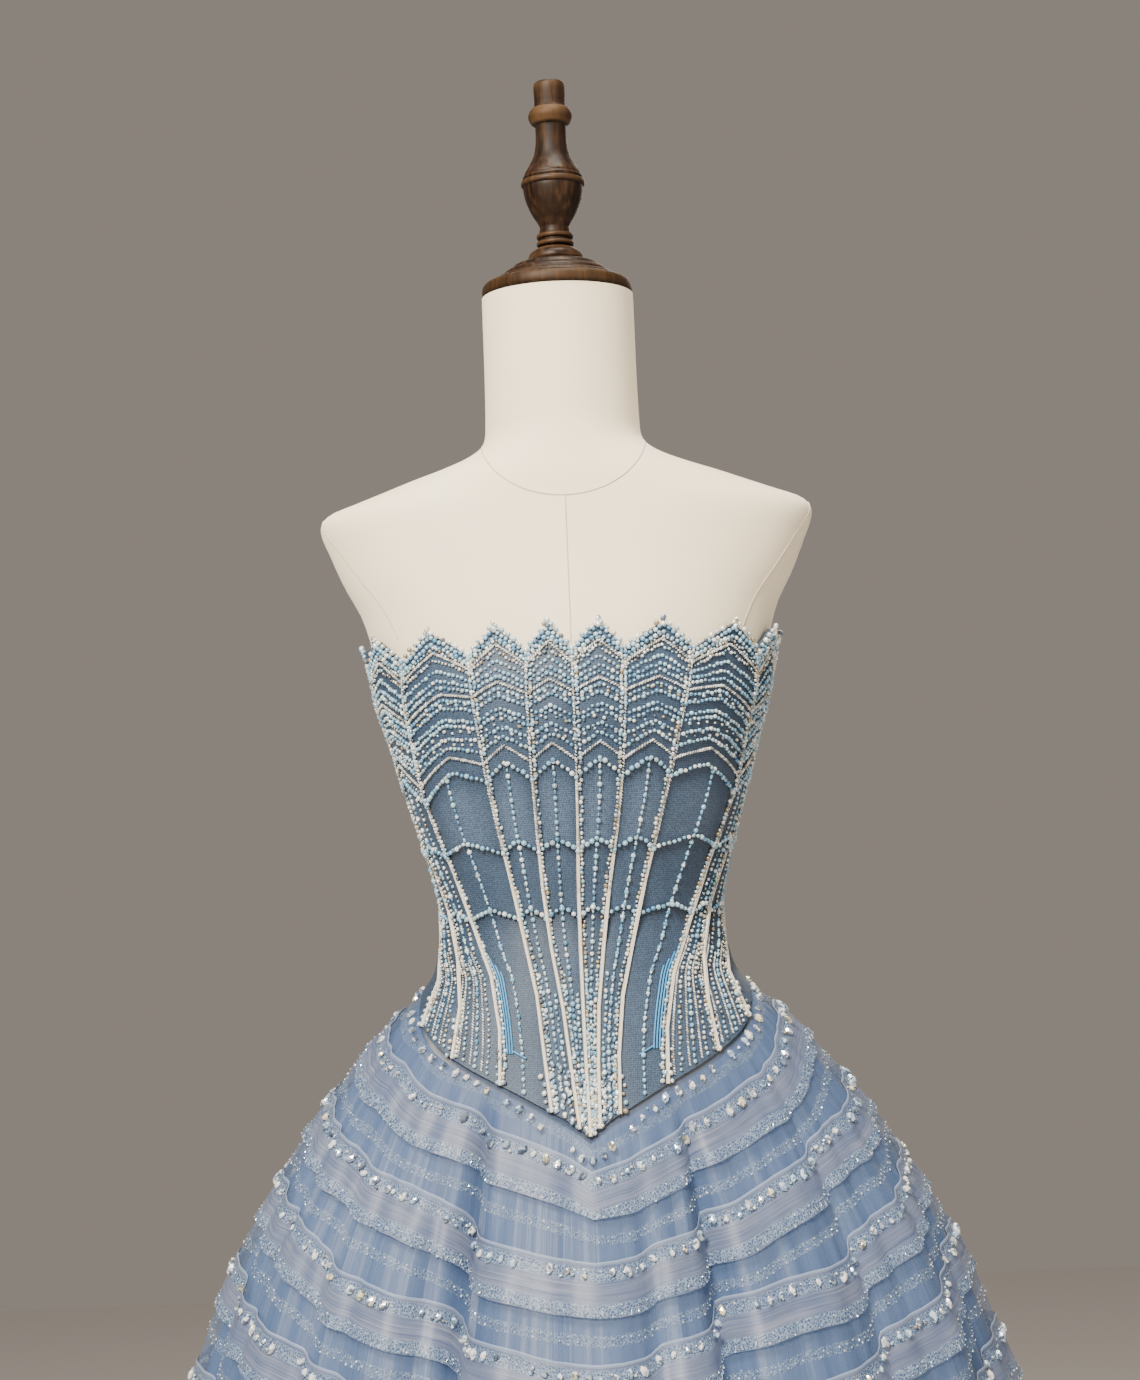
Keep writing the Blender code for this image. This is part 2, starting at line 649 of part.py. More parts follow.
def build_zip():
    """Slider of the concealed centre-back zip, and the pull tab on its pin."""
    surface = gown_point(CENTRE_BACK, SLIDER_HEIGHT)
    back_face = surface.y + SEAM_GAP
    pin = Vector((0.0, back_face + PIN_STANDOFF, surface.z))
    slider_middle = Vector((0.0, back_face + SLIDER_SIZE.y / 2, surface.z))
    slider_mesh = box_mesh("zip_slider", SLIDER_SIZE, slider_middle)
    slider = add_object("zip_slider", slider_mesh, "zip_metal", False)
    lug_reach = pin.y + LUG_SIZE.z / 2 - back_face - SLIDER_SIZE.y / 2
    for side in (-1, 1):
        lug_size = Vector((LUG_SIZE.x, lug_reach, LUG_SIZE.z))
        lug_x = side * (TAB_WIDTH / 2 + SEAM_GAP + LUG_SIZE.x / 2)
        lug_middle = Vector((lug_x, back_face + SLIDER_SIZE.y / 2 + lug_reach / 2, surface.z))
        lug = add_object("lug", box_mesh("lug", lug_size, lug_middle), None, False)
        combine(slider, lug, "UNION")
    pin_length = TAB_WIDTH + 2 * (SEAM_GAP + LUG_SIZE.x / 2)
    pin_rod = add_object("pin", rod_mesh("pin", PIN_RADIUS, pin_length, pin), None, False)
    combine(slider, pin_rod, "UNION")

    # the tab's origin is on the pin, so that it swings there
    eye_mesh = rod_mesh("zip_pull", EYE_OUTER, TAB_WIDTH, Vector())
    eye = add_object("zip_pull", eye_mesh, "zip_metal", False)
    eye.location = pin
    plate_size = Vector((TAB_WIDTH, TAB_THICKNESS, TAB_LENGTH))
    plate_middle = Vector((0.0, 0.0, -TAB_LENGTH / 2 - (EYE_INNER + EYE_OUTER) / 2))
    plate = add_object("tab_plate", box_mesh("tab_plate", plate_size, plate_middle), None, False)
    plate.location = pin
    combine(eye, plate, "UNION")
    hole_mesh = rod_mesh("eye_hole", EYE_INNER, TAB_WIDTH * 2, Vector())
    hole = add_object("eye_hole", hole_mesh, None, False)
    hole.location = pin
    combine(eye, hole, "DIFFERENCE")


def main():
    for old in list(bpy.data.objects):
        bpy.data.objects.remove(old)
    build_form()
    build_stand()
    build_bodice()
    build_bones()
    build_skirt()
    build_zip()


main()
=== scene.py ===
# %% [markdown]
# # A beaded ball gown on a limbless dress form
# The gown is strapless. A boned bodice runs down to a point at the front, and a wide skirt of net over
# an opaque under-skirt carries rings of horsehair braid, crystals and glitter. It stands on a padded
# dress form with a turned wooden cap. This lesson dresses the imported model, piece by piece.
#
# Heights are measured from the waist. A turn is an angle round the body in degrees, 0 at the centre
# front and positive towards the wearer's left.

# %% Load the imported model
import math
import bpy
import numpy as np
from mathutils import Matrix, Vector


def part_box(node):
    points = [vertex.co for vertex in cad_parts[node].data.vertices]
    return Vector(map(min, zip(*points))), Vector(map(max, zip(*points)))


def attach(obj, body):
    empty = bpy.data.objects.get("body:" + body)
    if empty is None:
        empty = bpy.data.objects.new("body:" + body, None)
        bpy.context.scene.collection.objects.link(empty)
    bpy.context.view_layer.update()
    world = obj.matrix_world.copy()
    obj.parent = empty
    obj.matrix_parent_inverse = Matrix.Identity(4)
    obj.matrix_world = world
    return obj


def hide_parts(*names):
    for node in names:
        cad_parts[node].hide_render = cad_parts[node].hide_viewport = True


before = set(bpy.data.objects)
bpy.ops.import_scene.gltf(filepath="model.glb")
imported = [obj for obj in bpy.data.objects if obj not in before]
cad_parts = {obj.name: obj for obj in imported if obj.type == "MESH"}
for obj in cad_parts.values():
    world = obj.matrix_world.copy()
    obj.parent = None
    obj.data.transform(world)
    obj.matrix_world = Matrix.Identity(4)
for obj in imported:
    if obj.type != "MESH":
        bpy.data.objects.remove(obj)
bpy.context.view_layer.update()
BODY = "gown_and_form"

# %% [markdown]
# ## Camera, floor and light
# The camera stands 2.2 m in front of the waist, tips up a little and leans slightly, as hand-held
# cameras do. Large area lights from the front, the top and the sides give soft shadows, with enough
# direction to show every bead. A bright world does the rest of the filling.

# %% Camera
CAMERA_PLACE = (-0.0023, -2.2, 1.08)
CAMERA_TIP = math.radians(90 + 4.62)
CAMERA_LEAN = math.radians(-2.26)
camera_data = bpy.data.cameras.new("camera")
camera_data.sensor_fit = "VERTICAL"
camera_data.sensor_height = 36.0
camera_data.lens = 72.65
camera = bpy.data.objects.new("camera", camera_data)
camera.matrix_world = (Matrix.Translation(CAMERA_PLACE) @ Matrix.Rotation(CAMERA_TIP, 4, "X")
                       @ Matrix.Rotation(CAMERA_LEAN, 4, "Z"))
scene = bpy.context.scene
scene.collection.objects.link(camera)
scene.camera = camera

# %% Lights: (name, place, size, watts)
LIGHTS = (
    ("key", (-1.3, -2.6, 3.2), 1.3, 300.0),
    ("fill", (2.4, -2.2, 1.9), 2.4, 30.0),
    ("top", (0.2, -0.4, 3.6), 1.2, 70.0),
    ("back", (0.6, 2.6, 2.6), 2.0, 30.0),
)
AIM = Vector((0.0, 0.0, 1.1))
LIGHT_COLOUR = (1.0, 0.92, 0.79)
for name, place, size, watts in LIGHTS:
    light = bpy.data.lights.new(name, "AREA")
    light.shape = "DISK"
    light.size = size
    light.energy = watts
    light.color = LIGHT_COLOUR
    lamp = bpy.data.objects.new(name, light)
    lamp.location = place
    lamp.rotation_euler = (AIM - Vector(place)).to_track_quat("-Z", "Y").to_euler()
    scene.collection.objects.link(lamp)

world = bpy.data.worlds.new("studio")
world.use_nodes = True
world.node_tree.nodes["Background"].inputs["Color"].default_value = (0.66, 0.575, 0.50, 1.0)
world.node_tree.nodes["Background"].inputs["Strength"].default_value = 0.40
scene.world = world
print("lights", len(LIGHTS))


# %% [markdown]
# ## Node helpers
# Materials and Geometry Nodes trees are both node trees, so one small helper adds a node, sets its
# properties and fills its inputs, from other sockets or from values.

# %% Add nodes
def add_node(tree, kind, inputs=None, **settings):
    """A new node. `inputs` maps an input's name or number to a socket or a value."""
    made = tree.nodes.new(kind)
    for key, value in settings.items():
        setattr(made, key, value)
    for key, value in (inputs or {}).items():
        if isinstance(value, bpy.types.NodeSocket):
            tree.links.new(value, made.inputs[key])
        else:
            made.inputs[key].default_value = value
    return made


def new_finish(name, colour, roughness, sockets=None):
    """A Principled material and its tree and shader. Constant values go on the shader itself."""
    made = bpy.data.materials.new(name)
    made.use_nodes = True
    made.diffuse_color = (*colour, 1.0)
    tree = made.node_tree
    shader = tree.nodes["Principled BSDF"]
    shader.inputs["Base Color"].default_value = (*colour, 1.0)
    shader.inputs["Roughness"].default_value = roughness
    for key, value in (sockets or {}).items():
        shader.inputs[key].default_value = value
    return made, tree, shader


def ramp(tree, factor, stops, constant=False):
    """A colour ramp. `stops` are (place, colour)."""
    made = add_node(tree, "ShaderNodeValToRGB", {"Fac": factor})
    made.color_ramp.interpolation = "CONSTANT" if constant else "LINEAR"
    elements = made.color_ramp.elements
    while len(elements) < len(stops):
        elements.new(0.5)
    for element, (place, colour) in zip(elements, stops):
        element.position = place
        element.color = (*colour, 1.0)
    return made.outputs["Color"]


def noise(tree, vector, scale, detail=2.0, stretch=(1.0, 1.0, 1.0)):
    """Noise on a vector that may be stretched along its axes."""
    placed = add_node(tree, "ShaderNodeMapping", {"Vector": vector, "Scale": stretch})
    made = add_node(tree, "ShaderNodeTexNoise",
                    {"Vector": placed.outputs["Vector"], "Scale": scale, "Detail": detail})
    return made.outputs["Fac"]


def mixed(tree, factor, first, second, way="MIX"):
    """Two colours mixed or multiplied."""
    made = add_node(tree, "ShaderNodeMix", data_type="RGBA", blend_type=way)
    for number, value in ((0, factor), (6, first), (7, second)):
        if isinstance(value, bpy.types.NodeSocket):
            tree.links.new(value, made.inputs[number])
        elif number == 0:
            made.inputs[number].default_value = value
        else:
            made.inputs[number].default_value = (*value, 1.0)
    return made.outputs[2]


def maths(tree, way, first, second):
    """One sum of two sockets or values."""
    return add_node(tree, "ShaderNodeMath", {0: first, 1: second}, operation=way).outputs[0]


def reading(tree, what):
    """What a pattern reads: the "Object" or "cut" coordinates, or a value carried by the points."""
    if what == "Object":
        return add_node(tree, "ShaderNodeTexCoord").outputs["Object"]
    if what == "cut":
        return add_node(tree, "ShaderNodeUVMap", uv_map="cut").outputs["UV"]
    return add_node(tree, "ShaderNodeAttribute", attribute_name=what).outputs["Fac"]


def grey(level):
    """A grey for ramps that steer something other than colour."""
    return (level, level, level)


def paint(shader, source, socket="Base Color"):
    """Link a colour or a value to the shader."""
    shader.id_data.links.new(source, shader.inputs[socket])


def add_bump(tree, shader, height, strength, distance):
    """Bump from a height, in metres of `distance`."""
    made = add_node(tree, "ShaderNodeBump",
                    {"Height": height, "Strength": strength, "Distance": distance})
    paint(shader, made.outputs["Normal"], "Normal")


# %% Floor
def build_floor():
    """A plain pale floor under everything."""
    half = 6.0
    mesh = bpy.data.meshes.new("floor")
    mesh.from_pydata([(-half, -half, 0), (half, -half, 0), (half, half, 0), (-half, half, 0)], [],
                     [(0, 1, 2, 3)])
    floor = bpy.data.objects.new("floor", mesh)
    scene.collection.objects.link(floor)
    mesh.materials.append(new_finish("floor", (0.62, 0.60, 0.58), 0.6)[0])


build_floor()

# %% [markdown]
# ## The gown's surface
# Everything on the gown lies on one surface: oval sections, pulled in by the folds of the skirt. The
# tables repeat the part's own, so that the fine cloth fills the space that the model keeps for it.
# NumPy works out all the points of a piece at once.

# %% Sections of the gown: (height, half width, front depth, back depth)
GOWN_SECTIONS = (
    (0.24, 0.168, 0.101, 0.086), (0.205, 0.159, 0.111, 0.085), (0.169, 0.152, 0.118, 0.085),
    (0.135, 0.141, 0.117, 0.084), (0.096, 0.131, 0.109, 0.082), (0.038, 0.1145, 0.094, 0.078),
    (0.0, 0.1086, 0.088, 0.076), (-0.029, 0.114, 0.092, 0.082), (-0.048, 0.121, 0.095, 0.09),
    (-0.086, 0.16, 0.101, 0.124), (-0.128, 0.197, 0.11, 0.16), (-0.165, 0.225, 0.122, 0.19),
    (-0.195, 0.244, 0.138, 0.211), (-0.239, 0.271, 0.16, 0.238), (-0.284, 0.293, 0.181, 0.261),
    (-0.36, 0.322, 0.215, 0.293), (-0.45, 0.353, 0.252, 0.328), (-0.6, 0.403, 0.31, 0.382),
    (-0.8, 0.468, 0.383, 0.45), (-1.068, 0.552, 0.475, 0.538),
)
FORM_TOP = 0.4937             # top of the neck above the waist
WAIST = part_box("form_torso")[1].z - FORM_TOP
HEM = -1.0680

# %% Folds: (turn of the trough, depth, drop where it starts, drop where it is full)
FOLDS = (
    (-157.0, 0.02, 0.08, 0.36), (-128.0, 0.016, 0.08, 0.4), (-100.0, 0.018, 0.1, 0.48),
    (-72.0, 0.011, 0.12, 0.52), (-46.0, 0.008, 0.12, 0.46), (-22.0, 0.022, 0.13, 0.3),
    (-8.0, 0.005, 0.2, 0.5), (8.0, 0.009, 0.17, 0.32), (18.0, 0.021, 0.14, 0.3),
    (44.0, 0.011, 0.12, 0.42), (70.0, 0.012, 0.12, 0.52), (98.0, 0.016, 0.1, 0.48),
    (127.0, 0.017, 0.08, 0.4), (156.0, 0.019, 0.08, 0.36), (180.0, 0.012, 0.08, 0.42),
)
FOLD_SPREAD = 0.34

# %% Small creases between the folds: (turn, depth or -height, spread, drop at the top, drop when full)
CREASES = (
    (-171.0, 0.003, 3.0, 0.09, 0.22), (-146.0, -0.003, 4.0, 0.1, 0.3), (-137.0, 0.0035, 2.6, 0.08, 0.2),
    (-116.0, -0.0035, 3.4, 0.12, 0.34), (-109.0, 0.0028, 2.2, 0.1, 0.26), (-88.0, 0.004, 2.8, 0.08, 0.24),
    (-81.0, -0.003, 2.4, 0.1, 0.3), (-62.0, 0.0042, 2.4, 0.07, 0.22), (-54.0, -0.0028, 2.2, 0.1, 0.26),
    (-38.5, 0.0034, 1.9, 0.12, 0.24), (-31.5, -0.004, 2.6, 0.15, 0.28), (-26.5, 0.0032, 1.5, 0.17, 0.3),
    (-14.5, -0.0045, 2.6, 0.19, 0.32), (-3.0, 0.003, 1.8, 0.21, 0.4), (3.5, -0.003, 2.0, 0.2, 0.36),
    (12.8, -0.004, 1.6, 0.18, 0.3), (23.5, -0.0045, 2.4, 0.15, 0.28), (29.0, 0.0032, 1.7, 0.14, 0.26),
    (36.5, -0.0034, 2.2, 0.12, 0.24), (51.5, 0.0036, 2.0, 0.09, 0.22), (58.0, -0.0036, 2.6, 0.1, 0.3),
    (64.0, 0.0026, 1.8, 0.08, 0.22), (80.0, 0.0042, 2.8, 0.08, 0.26), (88.5, -0.0034, 2.8, 0.1, 0.3),
    (108.0, 0.003, 2.4, 0.1, 0.28), (117.0, -0.0036, 3.2, 0.1, 0.32), (136.0, 0.0032, 2.6, 0.08, 0.24),
    (147.0, -0.003, 3.4, 0.1, 0.3), (168.0, 0.003, 3.0, 0.09, 0.24),
    # the sharp lips of the main folds
    (-24.8, -0.005, 1.8, 0.14, 0.24), (-21.2, 0.0115, 1.6, 0.12, 0.2), (15.6, -0.005, 1.7, 0.15, 0.26),
    (18.8, 0.011, 1.5, 0.13, 0.2), (8.6, 0.0045, 1.4, 0.18, 0.28), (44.5, 0.005, 1.8, 0.12, 0.26),
    (-46.5, 0.0045, 1.8, 0.12, 0.26), (-72.5, 0.005, 2.0, 0.12, 0.3), (70.6, 0.005, 2.0, 0.12, 0.3),
    (-100.6, 0.0055, 2.2, 0.12, 0.3), (98.6, 0.0055, 2.2, 0.12, 0.3), (-128.5, 0.005, 2.2, 0.1, 0.28),
    (127.4, 0.005, 2.2, 0.1, 0.28), (-157.4, 0.0055, 2.2, 0.1, 0.28), (156.5, 0.0055, 2.2, 0.1, 0.28),
)


# %% Tables, angles and slopes
def smooth_columns(table, where):
    """The columns of a table at `where`, with smooth cubic steps between its rows."""
    rows = np.array(sorted(table), float)
    where = np.clip(np.asarray(where, float), rows[0, 0], rows[-1, 0])
    low = np.clip(np.searchsorted(rows[:, 0], where) - 1, 0, len(rows) - 2)
    high = low + 1
    before = np.maximum(low - 1, 0)
    after = np.minimum(high + 1, len(rows) - 1)
    span = (rows[high, 0] - rows[low, 0])[..., None]
    part = (where - rows[low, 0])[..., None] / span
    slope_low = (rows[high] - rows[before]) / (rows[high, 0] - rows[before, 0])[..., None]
    slope_high = (rows[after] - rows[low]) / (rows[after, 0] - rows[low, 0])[..., None]
    values = ((2 * part ** 3 - 3 * part ** 2 + 1) * rows[low]
              + (part ** 3 - 2 * part ** 2 + part) * span * slope_low
              + (3 * part ** 2 - 2 * part ** 3) * rows[high]
              + (part ** 3 - part ** 2) * span * slope_high)
    return values[..., 1:]


def turn_between(first, second):
    """Signed turn from one angle to another, -180 to 180 degrees."""
    return (second - first + 180.0) % 360.0 - 180.0


def eased(value, start, end):
    """0 before start and 1 after end, with a smooth step between."""
    part = np.clip((value - start) / (end - start), 0.0, 1.0)
    return part * part * (3 - 2 * part)


def fold_offset(turn, height):
    """How far the folds pull the skirt in."""
    total = np.zeros(np.broadcast(turn, height).shape)
    for index, (middle, depth, start, full) in enumerate(FOLDS):
        after = FOLDS[(index + 1) % len(FOLDS)][0]
        before = FOLDS[index - 1][0]
        width = FOLD_SPREAD * abs(turn_between(before, after)) / 2
        reach = np.exp(-(turn_between(middle, turn) / width) ** 2)
        total = total - depth * eased(-height, start, full) * reach
    return total


def crease_offset(turn, height):
    """The small creases, and the ripple of the gathers where the skirt is sewn on."""
    total = np.zeros(np.broadcast(turn, height).shape)
    for middle, depth, spread, start, full in CREASES:
        reach = np.exp(-(turn_between(middle, turn) / spread) ** 2)
        total = total - depth * eased(-height, start, full) * reach
    angle = np.radians(turn)
    ripple = np.sin(37 * angle + 0.6) + 0.7 * np.sin(61 * angle + 2.0) + 0.5 * np.sin(23 * angle)
    drop = edge_height(turn) - height
    fade = eased(drop, 0.004, 0.030) * (1 - 0.8 * eased(drop, 0.05, 0.40))
    return total + GATHER * fade * ripple


# %% Points and normals of the gown
GATHER = 0.0007               # ripple of the gathers
TURN_STEP = 0.25              # steps for finding the surface's slope, in degrees
SLOPE_STEP = 0.002            # and in metres


def oval_point(sections, turn, height, out=0.0):
    """Points on a body of oval sections, moved outwards by `out`."""
    half_width, front, back = np.moveaxis(smooth_columns(sections, height), -1, 0)
    angle = np.radians(turn)
    depth = np.where(np.cos(angle) > 0, front, back)
    x = (half_width + out) * np.sin(angle)
    y = -(depth + out) * np.cos(angle)
    return np.stack(np.broadcast_arrays(x, y, WAIST + height), axis=-1)


def gown_point(turn, height, creased=True):
    """Points on the outside of the bodice or of the skirt's net."""
    turn, height = np.broadcast_arrays(np.asarray(turn, float), np.asarray(height, float))
    out = fold_offset(turn, height)
    if creased:
        out = out + crease_offset(turn, height)
    return oval_point(GOWN_SECTIONS, turn, height, out)


def unit(vectors):
    """Vectors of length 1."""
    return vectors / np.maximum(np.linalg.norm(vectors, axis=-1, keepdims=True), 1e-12)


def outward(point, turn, height, turn_step, height_step):
    """Outward directions of a surface, from points a little to each side, above and below."""
    along = point(turn + turn_step, height) - point(turn - turn_step, height)
    down = point(turn, height - height_step) - point(turn, height + height_step)
    return unit(np.cross(down, along))


def gown_normal(turn, height, creased=True):
    """Outward directions of the gown's surface."""
    def point(turn, height):
        """A point of the surface."""
        return gown_point(turn, height, creased)

    return outward(point, turn, height, TURN_STEP, SLOPE_STEP)


def run_lengths(points, axis):
    """How far each point of a grid is along its row or column, from the first one."""
    steps = np.linalg.norm(np.diff(points, axis=axis), axis=-1)
    start = np.zeros_like(np.take(steps, [0], axis=axis))
    return np.concatenate([start, np.cumsum(steps, axis=axis)], axis=axis)


# %% Lower edge of the bodice: (turn, height)
BODICE_EDGE = (
    (0.0, -0.164), (4.0, -0.153), (9.0, -0.143), (17.0, -0.129),
    (30.0, -0.111), (45.0, -0.092), (65.0, -0.068), (90.0, -0.05),
    (125.0, -0.052), (155.0, -0.064), (180.0, -0.08),
)


def edge_height(turn):
    """Height of the bodice's lower edge."""
    return smooth_columns(BODICE_EDGE, np.abs(turn_between(0.0, turn)))[..., 0]


print("waist", round(WAIST, 4), "front of the waist", gown_point(0.0, 0.0))

# %% [markdown]
# ## Making meshes from grids
# Cloth is made as a grid of points, row by row down and column by column towards the wearer's left.
# Seen from outside, each face then runs anticlockwise and points outwards. An opaque piece gets a
# second grid behind the first and a rim, which makes a closed wall. A sheer net stays one layer.


# %% Cloth from grids
def cloth(name, finish, outer, uv, inner=None, ring=False, shades=None):
    """A piece of cloth. A ring's last column repeats its first."""
    rows, columns = outer.shape[:2]
    unique = columns - 1 if ring else columns
    points = [outer[:, :unique].reshape(-1, 3)]
    if inner is not None:
        points.append(inner[:, :unique].reshape(-1, 3))
    row, column = np.meshgrid(np.arange(rows - 1), np.arange(columns - 1), indexing="ij")
    row = row.ravel()
    column = column.ravel()

    def number(r, c, layer=0):
        """Number of the point in a row and column of a layer."""
        return layer * rows * unique + r * unique + c % unique

    corners = ((row, column), (row + 1, column), (row + 1, column + 1), (row, column + 1))
    faces = [np.stack([number(r, c) for r, c in corners], axis=1)]
    places = [np.stack([uv[r, c] for r, c in corners], axis=1)]
    if inner is not None:
        faces.append(np.stack([number(r, c, 1) for r, c in corners[::-1]], axis=1))
        places.append(np.stack([uv[r, c] for r, c in corners[::-1]], axis=1))
        for rim in rim_corners(rows, columns, ring):
            faces.append(np.stack([number(r, c, layer) for r, c, layer in rim], axis=1))
            places.append(np.stack([uv[r, c] for r, c, layer in rim], axis=1))
    faces = np.concatenate(faces)
    mesh = bpy.data.meshes.new(name)
    mesh.from_pydata(np.concatenate(points).tolist(), [], faces.tolist())
    layer = mesh.uv_layers.new(name="cut")
    layer.data.foreach_set("uv", np.concatenate(places).reshape(-1))
    if shades is not None:
        values = shades[:, :unique].reshape(-1)
        if inner is not None:
            values = np.concatenate([values, values])
        mesh.attributes.new("shade", "FLOAT", "POINT").data.foreach_set("value", values)
    return finished(name, mesh, finish)


def rim_corners(rows, columns, ring):
    """Corners (row, column, layer) of the faces between the two layers' edges."""
    c = np.arange(columns - 1)
    top = 0 * c
    end = top + rows - 1
    yield (top, c, 0), (top, c + 1, 0), (top, c + 1, 1), (top, c, 1)
    yield (end, c, 1), (end, c + 1, 1), (end, c + 1, 0), (end, c, 0)
    if not ring:
        r = np.arange(rows - 1)
        left = 0 * r
        right = left + columns - 1
        yield (r, left, 1), (r + 1, left, 1), (r + 1, left, 0), (r, left, 0)
        yield (r, right, 0), (r + 1, right, 0), (r + 1, right, 1), (r, right, 1)


def finished(name, mesh, finish, smooth=40.0):
    """An object at the origin for a mesh whose place is in its points, riding on the gown's body."""
    mesh.materials.append(finish)
    mesh.shade_smooth()
    mesh.set_sharp_from_angle(angle=math.radians(smooth))
    piece = bpy.data.objects.new(name, mesh)
    scene.collection.objects.link(piece)
    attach(piece, BODY)
    return piece


def stand_in(piece, node):
    """Put the piece in place of a plain solid of the model, which is hidden."""
    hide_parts(node)
    print(piece.name, "faces", len(piece.data.polygons))


# %% [markdown]
# ## The dress form
# The torso is a padded shell covered in cream cotton jersey, pulled tight. It is a lofted body of oval
# sections, finer than the model's. The cover's seams run round the neck, down the centre front and
# round each armhole, and show as fine stitched lines.

# %% Torso sections: (height, half width, front depth, back depth)
FORM_SECTIONS = (
    (-0.25, 0.146, 0.09, 0.098), (-0.235, 0.154, 0.096, 0.107), (-0.19, 0.156, 0.099, 0.111),
    (-0.14, 0.148, 0.098, 0.108), (-0.086, 0.135, 0.094, 0.099), (-0.048, 0.116, 0.091, 0.0855),
    (-0.029, 0.1106, 0.0886, 0.0786), (0.0, 0.1052, 0.0846, 0.0726), (0.038, 0.1108, 0.0902, 0.0743),
    (0.096, 0.1268, 0.1044, 0.078), (0.135, 0.1368, 0.1122, 0.0798), (0.169, 0.1478, 0.1132, 0.0808),
    (0.205, 0.155, 0.1066, 0.081), (0.24, 0.1646, 0.0976, 0.0826), (0.265, 0.1775, 0.09, 0.083),
    (0.29, 0.188, 0.084, 0.081), (0.312, 0.1955, 0.079, 0.078), (0.323, 0.189, 0.0765, 0.0755),
    (0.331, 0.168, 0.075, 0.074), (0.339, 0.146, 0.0735, 0.072), (0.347, 0.124, 0.0715, 0.07),
    (0.355, 0.1, 0.069, 0.068), (0.364, 0.078, 0.0665, 0.0655), (0.374, 0.065, 0.064, 0.063),
    (0.39, 0.0615, 0.061, 0.0605), (0.4937, 0.0605, 0.0585, 0.058),
)


# %% Jersey
def jersey_finish():
    """Cream cotton jersey: a fine knit, a soft nap, and slight shading where it has been handled."""
    finish, tree, shader = new_finish("jersey", (0.95, 0.87, 0.74), 0.88, {
        "Sheen Weight": 0.25, "Sheen Roughness": 0.5, "Specular IOR Level": 0.25})
    place = reading(tree, "Object")
    broad = noise(tree, place, 7.0, 3.0)
    colour = ramp(tree, broad, ((0.3, (0.96, 0.835, 0.610)), (0.7, (0.99, 0.890, 0.690))))
    paint(shader, colour)
    knit = noise(tree, place, 900.0, 2.0, (1.0, 1.0, 0.45))
    add_bump(tree, shader, knit, 0.35, 0.0004)
    return finish


JERSEY = jersey_finish()


# %% Torso
TOP_ROUNDING = 0.0004


def build_torso():
    """Oval rings, closed at the neck and at the base."""
    turns = np.linspace(-180.0, 180.0, 121)
    heights = np.concatenate([
        np.linspace(FORM_TOP, 0.392, 10),     # the neck
        np.linspace(0.387, 0.300, 36),        # the shoulders, which curve the most
        np.linspace(0.292, -0.25, 56)])       # chest, waist and hips
    grid = oval_point(FORM_SECTIONS, turns[None, :], heights[:, None])
    middle_top = grid[0].mean(axis=0)
    middle_end = grid[-1].mean(axis=0)
    top_rings = [middle_top + (grid[0] - middle_top) * share for share in (0.0, 0.9, 0.985)]
    end_rings = [middle_end + (grid[-1] - middle_end) * share for share in (0.985, 0.9, 0.0)]
    top_rings[2][:, 2] -= TOP_ROUNDING
    grid = np.concatenate([np.stack(top_rings), grid, np.stack(end_rings)])
    uv = np.zeros((*grid.shape[:2], 2))
    uv[..., 0] = turns[None, :] / 360.0
    uv[..., 1] = grid[..., 2]
    torso = cloth("torso", JERSEY, grid, uv, ring=True)
    stand_in(torso, "form_torso")


build_torso()

# %% [markdown]
# ## Beads and cords by Geometry Nodes
# All the beadwork follows lines on the cloth: rows, strings, edges and rings. One tree serves them
# all. Its input is a mesh of edges, each point carrying the cloth's outward direction as `out`. The
# tree sets a bead every `Spacing`, turns it to lie along its line, tilts and scales it a little at
# random from a fixed seed, and keeps a random `tone` for its colour. A second tree runs a thin round
# cord along the same kind of lines.


# %% The bead tree
def tree_with_inputs(name, sockets):
    """An empty Geometry Nodes tree with named inputs, its group input and its group output."""
    tree = bpy.data.node_groups.new(name, "GeometryNodeTree")
    tree.interface.new_socket("Lines", in_out="INPUT", socket_type="NodeSocketGeometry")
    for socket, kind in sockets:
        tree.interface.new_socket(socket, in_out="INPUT", socket_type=f"NodeSocket{kind}")
    tree.interface.new_socket("Mesh", in_out="OUTPUT", socket_type="NodeSocketGeometry")
    return tree, tree.nodes.new("NodeGroupInput"), tree.nodes.new("NodeGroupOutput")


